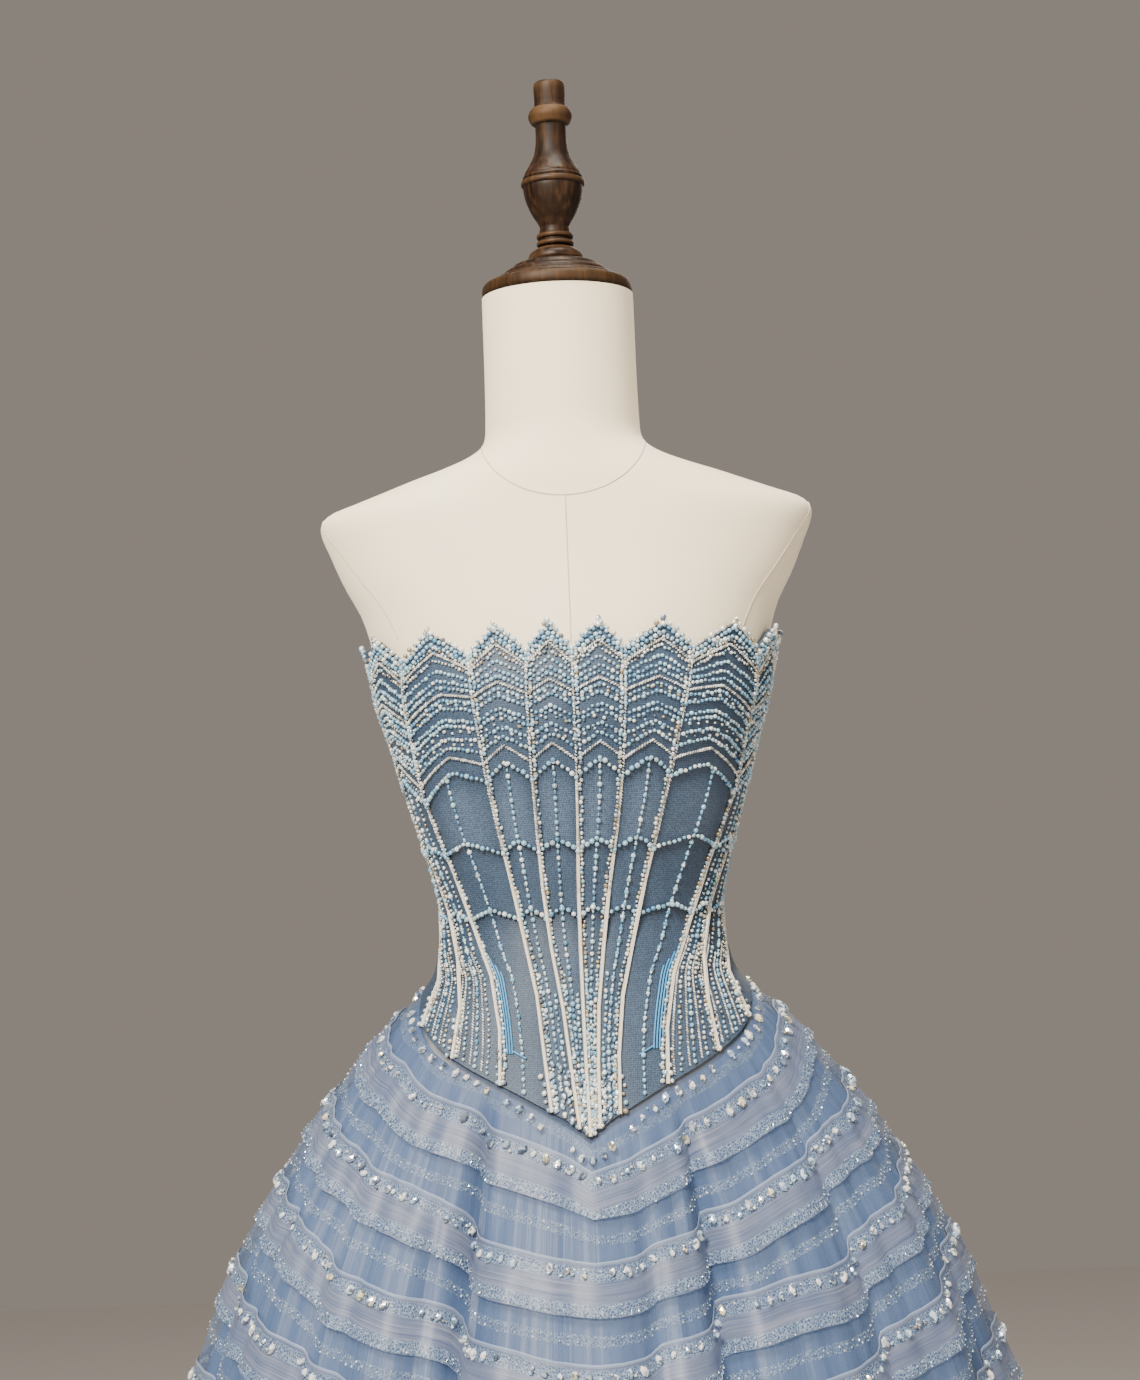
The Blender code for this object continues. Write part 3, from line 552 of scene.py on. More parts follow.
def bead_tree():
    """Beads set along lines."""
    tree, given, result = tree_with_inputs("beads along lines", (
        ("Spacing", "Float"), ("Length", "Float"), ("Width", "Float"), ("Height", "Float"),
        ("Tilt", "Float"), ("Scatter", "Float"), ("Variation", "Float"), ("Stray", "Float"),
        ("Sides", "Int"), ("Rings", "Int"), ("Smooth", "Bool"), ("Seed", "Int"),
        ("Finish", "Material")))
    value = given.outputs

    def chance(low, high, step):
        """A random number for each bead."""
        seed = maths(tree, "ADD", value["Seed"], float(step))
        made = add_node(tree, "FunctionNodeRandomValue", {"Seed": seed})
        for number, limit in ((2, low), (3, high)):
            if isinstance(limit, bpy.types.NodeSocket):
                tree.links.new(limit, made.inputs[number])
            else:
                made.inputs[number].default_value = limit
        return made.outputs[1]

    curve = add_node(tree, "GeometryNodeMeshToCurve", {"Mesh": value["Lines"]})
    points = add_node(tree, "GeometryNodeCurveToPoints",
                      {"Curve": curve.outputs[0], "Length": value["Spacing"]}, mode="LENGTH")
    out = add_node(tree, "GeometryNodeInputNamedAttribute", {"Name": "out"},
                   data_type="FLOAT_VECTOR").outputs["Attribute"]
    tangent = add_node(tree, "GeometryNodeCaptureAttribute", {"Geometry": points.outputs["Points"]})
    tangent.capture_items.new("VECTOR", "tangent")
    tree.links.new(points.outputs["Tangent"], tangent.inputs[1])
    across = add_node(tree, "ShaderNodeVectorMath", {0: out, 1: tangent.outputs[1]},
                      operation="CROSS_PRODUCT")
    stray = add_node(tree, "ShaderNodeVectorMath", {0: across.outputs[0]}, operation="SCALE")
    back = maths(tree, "MULTIPLY", value["Stray"], -1.0)
    tree.links.new(chance(back, value["Stray"], 3), stray.inputs["Scale"])
    moved = add_node(tree, "GeometryNodeSetPosition",
                     {"Geometry": tangent.outputs[0], "Offset": stray.outputs[0]})
    upright = add_node(tree, "FunctionNodeAlignRotationToVector", {"Vector": out}, axis="Z")
    along = add_node(tree, "FunctionNodeAlignRotationToVector",
                     {"Rotation": upright.outputs[0], "Vector": tangent.outputs[1]},
                     axis="X", pivot_axis="Z")
    less = maths(tree, "SUBTRACT", value["Tilt"], value["Scatter"])
    more = maths(tree, "ADD", value["Tilt"], value["Scatter"])
    angles = add_node(tree, "ShaderNodeCombineXYZ", {"Z": chance(less, more, 1)})
    turn = add_node(tree, "FunctionNodeEulerToRotation", {0: angles.outputs[0]})
    placed = add_node(tree, "FunctionNodeRotateRotation",
                      {0: along.outputs[0], 1: turn.outputs[0]}, rotation_space="LOCAL")
    size = add_node(tree, "ShaderNodeCombineXYZ",
                    {"X": value["Length"], "Y": value["Width"], "Z": value["Height"]})
    smaller = maths(tree, "SUBTRACT", 1.0, value["Variation"])
    larger = maths(tree, "ADD", 1.0, value["Variation"])
    scaled = add_node(tree, "ShaderNodeVectorMath", {0: size.outputs[0]}, operation="SCALE")
    tree.links.new(chance(smaller, larger, 2), scaled.inputs["Scale"])
    ball = add_node(tree, "GeometryNodeMeshUVSphere",
                    {"Segments": value["Sides"], "Rings": value["Rings"], "Radius": 0.5})
    shaded = add_node(tree, "GeometryNodeSetShadeSmooth",
                      {"Geometry": ball.outputs[0], "Shade Smooth": value["Smooth"]})
    beads = add_node(tree, "GeometryNodeInstanceOnPoints", {
        "Points": moved.outputs[0], "Instance": shaded.outputs[0],
        "Rotation": placed.outputs[0], "Scale": scaled.outputs[0]})
    toned = add_node(tree, "GeometryNodeStoreNamedAttribute",
                     {"Geometry": beads.outputs[0], "Name": "tone", "Value": chance(0.0, 1.0, 4)},
                     data_type="FLOAT", domain="INSTANCE")
    real = add_node(tree, "GeometryNodeRealizeInstances", {"Geometry": toned.outputs[0]})
    coloured = add_node(tree, "GeometryNodeSetMaterial",
                        {"Geometry": real.outputs[0], "Material": value["Finish"]})
    tree.links.new(coloured.outputs[0], result.inputs[0])
    return tree


def cord_tree():
    """A round cord along lines."""
    tree, given, result = tree_with_inputs(
        "cord along lines", (("Radius", "Float"), ("Sides", "Int"), ("Finish", "Material")))
    value = given.outputs
    curve = add_node(tree, "GeometryNodeMeshToCurve", {"Mesh": value["Lines"]})
    circle = add_node(tree, "GeometryNodeCurvePrimitiveCircle",
                      {"Resolution": value["Sides"], "Radius": value["Radius"]})
    tube = add_node(tree, "GeometryNodeCurveToMesh", {
        "Curve": curve.outputs[0], "Profile Curve": circle.outputs[0], "Fill Caps": True})
    real = add_node(tree, "GeometryNodeRealizeInstances", {"Geometry": tube.outputs[0]})
    coloured = add_node(tree, "GeometryNodeSetMaterial",
                        {"Geometry": real.outputs[0], "Material": value["Finish"]})
    tree.links.new(coloured.outputs[0], result.inputs[0])
    return tree


BEAD_TREE = bead_tree()
CORD_TREE = cord_tree()


# %% Lines to finished pieces
def lines_mesh(name, lines):
    """A mesh of edges from (points, outward directions) pairs."""
    points, outs = (np.concatenate(parts) for parts in zip(*lines))
    ends = np.cumsum([len(line) for line, _ in lines])
    first = np.delete(np.arange(len(points)), ends - 1)
    edges = np.stack([first, first + 1], axis=1)
    mesh = bpy.data.meshes.new(name)
    mesh.from_pydata(points.tolist(), edges.tolist(), [])
    mesh.attributes.new("out", "FLOAT_VECTOR", "POINT").data.foreach_set("vector", outs.reshape(-1))
    return mesh


def grown(name, lines, tree, values):
    """Run a tree on lines and keep its result as a plain mesh."""
    guide = bpy.data.objects.new(name + "_lines", lines_mesh(name + "_lines", lines))
    scene.collection.objects.link(guide)
    modifier = guide.modifiers.new("grow", "NODES")
    modifier.node_group = tree
    for item in tree.interface.items_tree:
        if item.in_out == "INPUT" and item.name in values:
            modifier[item.identifier] = values[item.name]
    depsgraph = bpy.context.evaluated_depsgraph_get()
    mesh = bpy.data.meshes.new_from_object(guide.evaluated_get(depsgraph), depsgraph=depsgraph)
    mesh.name = name
    bpy.data.objects.remove(guide)
    piece = bpy.data.objects.new(name, mesh)
    scene.collection.objects.link(piece)
    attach(piece, BODY)
    mesh.calc_loop_triangles()
    print(name, "triangles", len(mesh.loop_triangles))
    return piece


def beads(name, lines, finish, slot, spacing, size, tilt=0.0, scatter=0.1, variation=0.12,
          stray=0.0, sides=6, rings=4, smooth=True, seed=1):
    """Beads of (length, width, height) along lines."""
    length, width, height = size
    return grown(name, lines, BEAD_TREE, {
        "Spacing": spacing, "Length": length, "Width": width, "Height": height,
        "Tilt": tilt, "Scatter": scatter, "Variation": variation, "Stray": stray,
        "Sides": sides, "Rings": rings, "Smooth": smooth, "Seed": seed, "Finish": finish})


def cords(name, lines, finish, radius, sides=6):
    """Round cords along lines."""
    piece = grown(name, lines, CORD_TREE, {"Radius": radius, "Sides": sides, "Finish": finish})
    piece.data.shade_smooth()
    return piece


# %% [markdown]
# ## Seams of the form's cover
# The cover is cut in panels. Its seams are pressed open and stitched, so each shows as a fine line in
# the jersey. A thin cord along the torso's surface, a little sunk into it, gives that line. The cord is
# coloured darker than the jersey, as painted shade of the seam's groove.


# %% Seam lines
NECK_SEAM_REACH = 0.0645      # half width of the seam round the neck's base
NECK_SEAM_SIDE = 0.3730       # its height at the sides,
NECK_SEAM_FRONT = 0.3225      # at the front
NECK_SEAM_BACK = 0.3480       # and at the back
# Armhole seam: points as (turn, height)
ARM_SEAM = ((84.0, 0.3190), (77.0, 0.3060), (70.0, 0.2850), (64.0, 0.2600), (60.0, 0.2360),
            (57.5, 0.2180))
SEAM_END = 0.205              # the centre seams go on to here, behind the bodice
SEAM_SINK = 0.0001
SEAM_RADIUS = 0.0005


def torso_point(turn, height):
    """Points on the torso."""
    return oval_point(FORM_SECTIONS, turn, height)


def torso_line(turns, heights):
    """A line on the torso, and its outward directions."""
    out = outward(torso_point, turns, heights, 0.3, 0.001)
    return torso_point(turns, heights) + out * SEAM_SINK, out


def neck_seam(low, back):
    """Half of the seam round the neck's base, from side to side, as turns and heights."""
    angle = np.radians(np.linspace(-90.0, 90.0, 61))
    heights = NECK_SEAM_SIDE - (NECK_SEAM_SIDE - low) * np.cos(angle)
    quarter = np.linspace(-90.0, 90.0, 181)
    widths = torso_point(quarter, heights[:, None])[..., 0]
    turns = np.array([np.interp(NECK_SEAM_REACH * np.sin(a), row, quarter)
                      for a, row in zip(angle, widths)])
    return (180.0 - turns if back else turns), heights


def curve_through(points, steps):
    """Points on a smooth curve through a few (turn, height) points."""
    table = [(index, *point) for index, point in enumerate(points)]
    return smooth_columns(table, np.linspace(0.0, len(points) - 1.0, steps)).T


def build_form_seams():
    """Neck seam all round, centre front and back seams, and a seam round each armhole."""
    lines = [torso_line(*neck_seam(NECK_SEAM_FRONT, False)),
             torso_line(*neck_seam(NECK_SEAM_BACK, True))]
    for turn, top in ((0.0, NECK_SEAM_FRONT), (180.0, NECK_SEAM_BACK)):
        heights = np.linspace(top, SEAM_END, 40)
        lines.append(torso_line(np.full(40, turn), heights))
    for side in (-1, 1):
        for back in (False, True):
            turns, heights = curve_through(ARM_SEAM, 50)
            turns = side * (180.0 - turns if back else turns)
            lines.append(torso_line(turns, heights))
    # the cord is darker than the jersey: painted shade of the seam's groove
    thread = new_finish("seam_painted_groove_shade", (0.62, 0.53, 0.42), 0.8, {"Sheen Weight": 0.2})[0]
    cords("form_seams", lines, thread, SEAM_RADIUS, 5)


build_form_seams()

# %% [markdown]
# ## Turned wood
# The cap, the finial and the stand are turned on a lathe and stained dark. A turned piece is one
# profile spun round its axis. Smooth runs of the profile pass through a few points, and a corner is
# kept sharp, as a chisel leaves it. The stain has rubbed off the crests, so each point also carries
# how far it stands out from its surroundings.

# %% Profiles: (height above the waist, radius, 1 at a corner)
CAP_PROFILE = (
    (0.494, 0.0, 1), (0.494, 0.0585, 1), (0.4962, 0.06, 0), (0.5, 0.0601, 0),
    (0.5035, 0.0588, 0), (0.5056, 0.0545, 0), (0.5062, 0.0505, 1), (0.5068, 0.05, 1),
    (0.5084, 0.049, 0), (0.5096, 0.047, 0), (0.51, 0.044, 1), (0.5105, 0.0434, 1),
    (0.5128, 0.0424, 0), (0.5148, 0.04, 0), (0.5155, 0.0372, 1), (0.516, 0.0362, 1),
    (0.519, 0.034, 0), (0.5206, 0.03, 0), (0.5212, 0.024, 1), (0.5212, 0.0, 1),
)
FINIAL_PROFILE = (
    (0.5215, 0.0, 1), (0.5215, 0.0205, 1), (0.5225, 0.0214, 0), (0.525, 0.0221, 0),
    (0.529, 0.0207, 0), (0.5325, 0.016, 0), (0.534, 0.0124, 1), (0.5346, 0.0128, 1),
    (0.5353, 0.0143, 0), (0.537, 0.0151, 0), (0.5387, 0.0143, 0), (0.5394, 0.0128, 1),
    (0.5406, 0.0128, 1), (0.5413, 0.0143, 0), (0.543, 0.0149, 0), (0.5447, 0.0142, 0),
    (0.5454, 0.0126, 1), (0.5468, 0.0124, 1), (0.5485, 0.0121, 0), (0.55, 0.0116, 1),
    (0.554, 0.0132, 0), (0.562, 0.018, 0), (0.572, 0.0222, 0), (0.58, 0.0239, 0),
    (0.5836, 0.024, 1), (0.5838, 0.0246, 1), (0.5848, 0.0255, 0), (0.5863, 0.0258, 0),
    (0.588, 0.0254, 0), (0.589, 0.0244, 1), (0.5894, 0.0238, 1), (0.5908, 0.0242, 0),
    (0.5922, 0.0237, 0), (0.593, 0.0229, 1), (0.595, 0.0224, 0), (0.601, 0.0188, 0),
    (0.609, 0.0148, 0), (0.619, 0.0127, 0), (0.631, 0.0124, 0), (0.6338, 0.0126, 1),
    (0.6342, 0.0134, 1), (0.6362, 0.016, 0), (0.6413, 0.0179, 0), (0.6464, 0.0162, 0),
    (0.6488, 0.0134, 1), (0.6494, 0.0128, 1), (0.654, 0.0124, 0), (0.664, 0.0128, 0),
    (0.668, 0.0124, 0), (0.6694, 0.0112, 1), (0.6694, 0.0, 1),
)
BASE_PROFILE = (
    (-0.264, 0.0, 1), (-0.264, 0.056, 1), (-0.2628, 0.059, 0), (-0.26, 0.06, 0),
    (-0.254, 0.06, 0), (-0.2512, 0.059, 0), (-0.2503, 0.057, 1), (-0.2503, 0.0, 1),
)
# These two are measured from the floor.
FOOT_PROFILE = (
    (0.0, 0.0, 1), (0.0, 0.195, 1), (0.002, 0.1985, 0), (0.006, 0.2, 0),
    (0.012, 0.1996, 0), (0.015, 0.196, 0), (0.016, 0.193, 1), (0.0172, 0.189, 1),
    (0.0225, 0.1855, 0), (0.024, 0.178, 0), (0.0252, 0.13, 0), (0.03, 0.07, 0),
    (0.036, 0.047, 0), (0.044, 0.0385, 0), (0.05, 0.036, 1), (0.05, 0.0, 1),
)
POLE_PROFILE = (
    (0.0503, 0.0000, 1), (0.0503, 0.0160, 1), (0.3000, 0.0160, 0), (0.6000, 0.0160, 0),
    (0.8157, 0.0160, 1), (0.8157, 0.0000, 1),
)
COLLAR_PROFILE = (
    (0.0503, 0.0163, 1), (0.0503, 0.0230, 1), (0.0515, 0.0240, 0), (0.0760, 0.0240, 0),
    (0.0790, 0.0228, 0), (0.0803, 0.0200, 1), (0.0803, 0.0163, 1), (0.0503, 0.0163, 1),
)


# %% Stained wood
def wood_finish():
    """Dark stain over turned hardwood: grain along the axis, worn and paler on the crests."""
    finish, tree, shader = new_finish("stained_wood", (0.10, 0.045, 0.02), 0.38, {
        "Specular IOR Level": 0.22})
    place = reading(tree, "Object")
    streaks = noise(tree, place, 260.0, 4.0, (1.0, 1.0, 0.09))
    patches = noise(tree, place, 38.0, 3.0, (1.0, 1.0, 0.6))
    grain = ramp(tree, streaks, ((0.32, (0.006, 0.0022, 0.0008)), (0.55, (0.021, 0.0085, 0.0030)),
                                 (0.75, (0.060, 0.028, 0.010))))
    worn = reading(tree, "shade")
    rubbed = maths(tree, "MULTIPLY", worn, patches)
    amount = ramp(tree, rubbed, ((0.18, grey(0.0)), (0.62, grey(0.85))))
    colour = mixed(tree, amount, grain, (0.115, 0.059, 0.022))
    paint(shader, colour)
    gloss = ramp(tree, patches, ((0.3, grey(0.40)), (0.7, grey(0.60))))
    paint(shader, gloss, "Roughness")
    add_bump(tree, shader, streaks, 0.25, 0.0004)
    return finish


WOOD = wood_finish()


# %% Turn a profile
TURNED_SIDES = 72
RUN_STEPS = 4                 # points between two rows of a smooth run
WEAR_REACH = 0.0035           # how far round a point its surroundings reach
WEAR_DEPTH = 0.0016


def smooth_profile(rows):
    """(height, radius) points along a profile, smooth between its corners."""
    points = []
    start = 0
    for index in range(1, len(rows)):
        if rows[index][2] == 1:
            run = rows[start:index + 1]
            table = [(place, row[0], row[1]) for place, row in enumerate(run)]
            steps = RUN_STEPS * (len(run) - 1) if len(run) > 2 else 1
            points.append(smooth_columns(table, np.linspace(0.0, len(run) - 1.0, steps + 1))[:-1])
            start = index
    points.append(np.array([rows[-1][:2]]))
    return np.concatenate(points)


def turned(name, rows, node, base=0.0):
    """Spin a profile, bottom to top, round the axis."""
    profile = smooth_profile(rows)[::-1]
    apart = np.linalg.norm(profile[:, None] - profile[None], axis=-1)
    near = np.exp(-(apart / WEAR_REACH) ** 2)
    around = (near * profile[None, :, 1]).sum(axis=1) / near.sum(axis=1)
    wear = np.clip(0.35 + (profile[:, 1] - around) / WEAR_DEPTH, 0.0, 1.0)
    turns = np.linspace(0.0, math.tau, TURNED_SIDES + 1)
    radius = np.maximum(profile[:, 1], 0.00002)[:, None]
    height = np.broadcast_to(base + profile[:, :1], (len(profile), len(turns)))
    grid = np.stack([radius * np.sin(turns), -radius * np.cos(turns), height], axis=-1)
    uv = np.stack([np.broadcast_to(turns / math.tau, height.shape), height], axis=-1)
    shades = np.broadcast_to(wear[:, None], height.shape)
    piece = cloth(name, WOOD, grid, uv, ring=True, shades=shades)
    stand_in(piece, node)


turned("turned_cap", CAP_PROFILE, "neck_cap", WAIST)
turned("turned_finial", FINIAL_PROFILE, "finial", WAIST)
turned("turned_base", BASE_PROFILE, "form_base", WAIST)
turned("turned_foot", FOOT_PROFILE, "stand_foot")
turned("turned_pole", POLE_PROFILE, "pole")
turned("turned_collar", COLLAR_PROFILE, "pole_collar")

# %% [markdown]
# ## The bodice
# Fourteen net panels are joined on boning channels. Each panel rises to a point at the neckline, and
# the bones sweep in to the waist and fan together towards the point below it. Three net tiers lie one
# over the other, and each ends in a scalloped, beaded edge that throws a small shadow. The net's colour
# adds painted shadow under each edge and at the sides, and a painted highlight in each panel's middle.

# %% Neckline: (turn, height at the bones)
NECKLINE = (
    (0.0, 0.198), (60.0, 0.197), (100.0, 0.193), (140.0, 0.178), (180.0, 0.17),
)
NECKLINE_POINT = 0.021

# %% Bones: (name, turn at the neckline, under the bust, at the waist, below it, at the lower edge)
BONES = (
    ("back_right", -138.0, -140.0, -144.0, -141.0, -139.0),
    ("underarm_right", -103.0, -106.0, -90.0, -54.0, -45.0),
    ("side_right", -80.0, -86.0, -67.0, -39.0, -31.0),
    ("side_front_right", -53.5, -62.0, -50.5, -25.0, -17.5),
    ("front_right", -29.2, -29.8, -25.5, -12.8, -6.6),
    ("centre_right", -12.2, -14.4, -14.2, -5.8, -1.9),
    ("centre", 0.0, 0.0, -1.0, -0.6, 0.0),
    ("centre_left", 14.6, 14.6, 9.8, 3.4, 1.9),
    ("front_left", 35.8, 31.0, 23.0, 9.6, 5.6),
    ("side_front_left", 64.2, 66.5, 50.5, 23.5, 15.0),
    ("side_left", 84.0, 86.0, 63.0, 38.0, 28.0),
    ("underarm_left", 103.0, 106.0, 88.0, 53.0, 43.0),
    ("back_left", 138.0, 140.0, 144.0, 141.0, 139.0),
)
BONE_HEIGHTS = (0.2100, 0.0900, 0.0000, -0.0800, -0.1600)
SEAM_TURNS = ((-180.0,) * 5, *[bone[1:] for bone in BONES], (180.0,) * 5)
PANELS = (
    "back_right", "side_back_right", "underarm_right", "side_right", "side_front_right",
    "front_right", "centre_front_right", "centre_front_left", "front_left", "side_front_left",
    "side_left", "underarm_left", "side_back_left", "back_left",
)
# Panels whose rows lean: share of the width where they peak, and drop at the first and the last bone.
LEANS = {
    "side_right": (0.45, 0.0, 0.012),
    "side_front_right": (0.60, 0.014, 0.0),
    "side_front_left": (0.40, 0.0, 0.014),
    "side_left": (0.55, 0.012, 0.0),
}
LEAN_DROP = 0.030             # rows lean fully from this far below the neckline
ZIP_SHARE = 0.12              # the back panels' beads keep this share clear of the zip


# %% Where rows and edges run
def seam_turn(seam, height):
    """Turn of a seam at a height. Seams 0 and 14 are the two sides of the centre back."""
    return smooth_columns(tuple(zip(BONE_HEIGHTS, SEAM_TURNS[seam])), height)[..., 0]


def panel_turn(panel, share, height):
    """Turn of a point of a panel, part of the way from its first bone to its last."""
    return (1 - share) * seam_turn(panel, height) + share * seam_turn(panel + 1, height)


def arrow(share, peak=0.5):
    """0 at both bones and 1 at the peak between them."""
    return np.where(share < peak, share / peak, (1 - share) / (1 - peak))


def row_height(panel, share, drop, rise):
    """Height of a row that is `drop` below the neckline at the bones and peaks `rise` above that."""
    peak, first, last = LEANS.get(PANELS[panel], (0.5, 0.0, 0.0))
    lean = min(drop / LEAN_DROP, 1.0)
    shape = arrow(share, 0.5 + (peak - 0.5) * lean) ** 0.9
    height = np.full(np.shape(share), 0.17)
    for _ in range(4):
        top = smooth_columns(NECKLINE, np.abs(panel_turn(panel, share, height)))[..., 0]
        height = top - drop - lean * (first * (1 - share) + last * share) + rise * shape
    return height


def bottom_height(panel, share):
    """Height of a panel's lower edge."""
    height = np.full(np.shape(share), -0.11)
    for _ in range(30):
        height = 0.5 * height + 0.5 * edge_height(panel_turn(panel, share, height))
    return height


# %% Net tiers
CHEVRON_EDGE = (0.0945, 0.0145)       # drop and rise of the upper tier's edge
SCALLOPS = ((0.0475, 0.0095), (-0.0030, 0.0080))   # (height at the bones, rise) of the next two
TIER_LIFT = 0.0009                    # thickness of one tier
TIER_STEP = 0.0006
PUFF = 0.0010                         # how far the net puffs out between bones


def tier_edges(panel, share):
    """Heights of the three tiers' edges."""
    edges = [row_height(panel, share, *CHEVRON_EDGE)]
    edges += [height + rise * arrow(share) ** 0.8 for height, rise in SCALLOPS]
    return edges


def panel_lift(panel, share, height):
    """How far the tiers and the puff of the net stand in front of the gown's surface."""
    lift = PUFF * np.sin(np.pi * share) ** 0.7 * eased(-np.abs(height - 0.02), -0.19, -0.12)
    for edge in tier_edges(panel, share):
        lift = lift + TIER_LIFT * eased(height - edge, -TIER_STEP, TIER_STEP)
    turn = np.abs(panel_turn(panel, share, height))
    return lift * eased(-turn, -177.0, -172.0)


def panel_point(panel, share, height, out=0.0):
    """Points on a panel, and its outward directions."""
    turn = panel_turn(panel, share, height)
    normal = gown_normal(turn, height)
    lift = panel_lift(panel, share, height) + out
    return gown_point(turn, height) + normal * lift[..., None], normal


# %% Bodice net
def net_pattern(tree, cell):
    """Distance from the threads of a fine net, on the cloth's own UV map in metres."""
    place = reading(tree, "cut")
    cells = add_node(tree, "ShaderNodeTexVoronoi",
                     {"Vector": place, "Scale": 1.0 / cell, "Randomness": 0.35}, feature="F1")
    return place, cells.outputs["Distance"]


def bodice_finish():
    """Slate blue net over a blue lining: a fine open mesh, a soft sheen, and painted shadow and
    highlight.
    """
    finish, tree, shader = new_finish("bodice_net", (0.10, 0.17, 0.27), 0.55, {
        "Sheen Weight": 0.08, "Sheen Roughness": 0.4})
    place, holes = net_pattern(tree, 0.0016)
    shade = reading(tree, "shade")
    # painted light: darker in the painted shadow under the tiers' edges and at the sides, lighter in the
    # painted highlight mid-panel
    net_colour_with_painted_light = ramp(tree, shade, ((0.0, (0.006, 0.013, 0.028)), (0.5, (0.030, 0.057, 0.106)),
                                      (1.0, (0.105, 0.160, 0.260))))
    thread = ramp(tree, holes, ((0.22, (0.50, 0.50, 0.50)), (0.62, (1.70, 1.65, 1.60))))
    netted = mixed(tree, 1.0, net_colour_with_painted_light, thread, "MULTIPLY")
    mottle = noise(tree, place, 55.0, 3.0, (1.0, 0.35, 1.0))
    cloudy = ramp(tree, mottle, ((0.3, (0.86, 0.88, 0.90)), (0.7, (1.12, 1.10, 1.08))))
    paint(shader, mixed(tree, 1.0, netted, cloudy, "MULTIPLY"))
    add_bump(tree, shader, holes, 0.5, 0.0003)
    return finish


BODICE_NET = bodice_finish()


# %% Panels
PANEL_COLUMNS = 13
PANEL_ROWS = (14, 1, 9, 1, 9, 1, 14)  # rows in each stretch between the tiers' edges
BODICE_WALL = 0.0016
UV_APART = 0.3                # each panel's own stretch of the net's pattern


def panel_heights(panel, share):
    """Heights of a panel's rows, closest together at the tiers' edges."""
    stops = [row_height(panel, share, 0.0, NECKLINE_POINT)]
    for edge in tier_edges(panel, share):
        stops += [edge + TIER_STEP, edge - TIER_STEP]
    stops.append(bottom_height(panel, share))
    rows = [stops[0][None]]
    for count, high, low in zip(PANEL_ROWS, stops, stops[1:]):
        parts = np.arange(1, count + 1)[:, None] / count
        rows.append(high + (low - high) * parts)
    return np.concatenate(rows)


def panel_shade(panel, share, height):
    """Painted light: 0 in the painted shadow under a tier's edge, 1 in the painted highlight mid-panel.
    """
    upper, middle, lower = tier_edges(panel, share)
    # painted highlight in the middle of each panel, near the bust
    painted_light = 0.5 + 0.22 * np.sin(np.pi * share) * eased(-np.abs(height - 0.075), -0.05, -0.01)
    # painted shadow under each tier's edge
    for edge, depth in ((upper, 0.30), (middle, 0.42), (lower, 0.34)):
        below = edge - height
        painted_light = painted_light - depth * np.where(below > 0, np.exp(-np.maximum(below, 0) / 0.006), 0.0)
    # painted shade towards the sides of the body
    side = np.abs(panel_turn(panel, share, height))
    return np.clip(painted_light - 0.16 * eased(side, 35.0, 75.0), 0.0, 1.0)


def build_panels():
    """Fourteen walls of net, each in place of its plain solid."""
    for panel, name in enumerate(PANELS):
        share = np.linspace(0.004, 0.996, PANEL_COLUMNS)
        heights = panel_heights(panel, share)
        shares = np.broadcast_to(share, heights.shape)
        outer, normal = panel_point(panel, shares, heights)
        inner = gown_point(panel_turn(panel, shares, heights), heights) - normal * BODICE_WALL
        uv = np.stack([run_lengths(outer, 1) + UV_APART * panel, heights], axis=-1)
        piece = cloth("panel_" + name, BODICE_NET, outer, uv, inner,
                      shades=panel_shade(panel, shares, heights))
        stand_in(piece, "bodice_" + name)


build_panels()

# %% [markdown]
# ## Finishes of the beadwork
# Each bead's random `tone` picks its colour from a few, in hard steps, so that a row mixes pearl blue,
# ivory and clear beads as a beader would thread them.


# %% Bead finishes
def toned_finish(name, stops, roughness, sockets):
    """A bead finish whose colour is picked by the bead's tone."""
    finish, tree, shader = new_finish(name, stops[0][1], roughness, sockets)
    tone = reading(tree, "tone")
    paint(shader, ramp(tree, tone, stops, constant=True))
    return finish


PEARL_BLUE = toned_finish("pearl_blue_bead", (
    (0.0, (0.23, 0.43, 0.60)), (0.24, (0.34, 0.55, 0.70)), (0.48, (0.48, 0.66, 0.77)),
    (0.68, (0.11, 0.27, 0.44)), (0.80, (0.78, 0.83, 0.85)), (0.92, (0.34, 0.43, 0.47))),
    0.18, {"Coat Weight": 0.6})
MIXED_BEAD = toned_finish("mixed_bead", (
    (0.0, (0.66, 0.63, 0.56)), (0.22, (0.36, 0.54, 0.66)), (0.42, (0.80, 0.80, 0.77)),
    (0.56, (0.36, 0.29, 0.19)), (0.66, (0.13, 0.15, 0.18)), (0.77, (0.93, 0.94, 0.94)),
    (0.90, (0.46, 0.57, 0.64))), 0.12, {"Metallic": 0.25, "Coat Weight": 0.8})
GLINT_PATCH = 0.0030                # size of a patch of painted glint and painted dark reflection


def crystal_finish():
    """Cut glass: the bead's tone, broken up by patches of painted glint and painted dark reflection."""
    finish = toned_finish("crystal", (
        (0.0, (0.95, 0.97, 1.00)), (0.3, (0.60, 0.76, 0.92)), (0.50, (0.96, 0.86, 0.62)),
        (0.62, (0.42, 0.50, 0.60)), (0.72, (1.00, 1.00, 1.00))), 0.09,
        {"Metallic": 0.25, "Coat Weight": 1.0, "Coat Roughness": 0.04})
    tree = finish.node_tree
    shader = tree.nodes["Principled BSDF"]
    tone = shader.inputs["Base Color"].links[0].from_socket
    place = reading(tree, "Object")
    cells = add_node(tree, "ShaderNodeTexVoronoi", {"Vector": place, "Scale": 1.0 / GLINT_PATCH})
    # painted glints and painted dark reflections, in patches fixed to the object
    painted_glints = ramp(tree, cells.outputs["Color"], (
        (0.0, (0.20, 0.24, 0.30)), (0.36, (0.95, 0.97, 1.00)), (0.50, (0.50, 0.56, 0.64)),
        (0.62, (1.0, 1.0, 1.0))), constant=True)
    paint(shader, mixed(tree, 1.0, tone, painted_glints, "MULTIPLY"))
    return finish


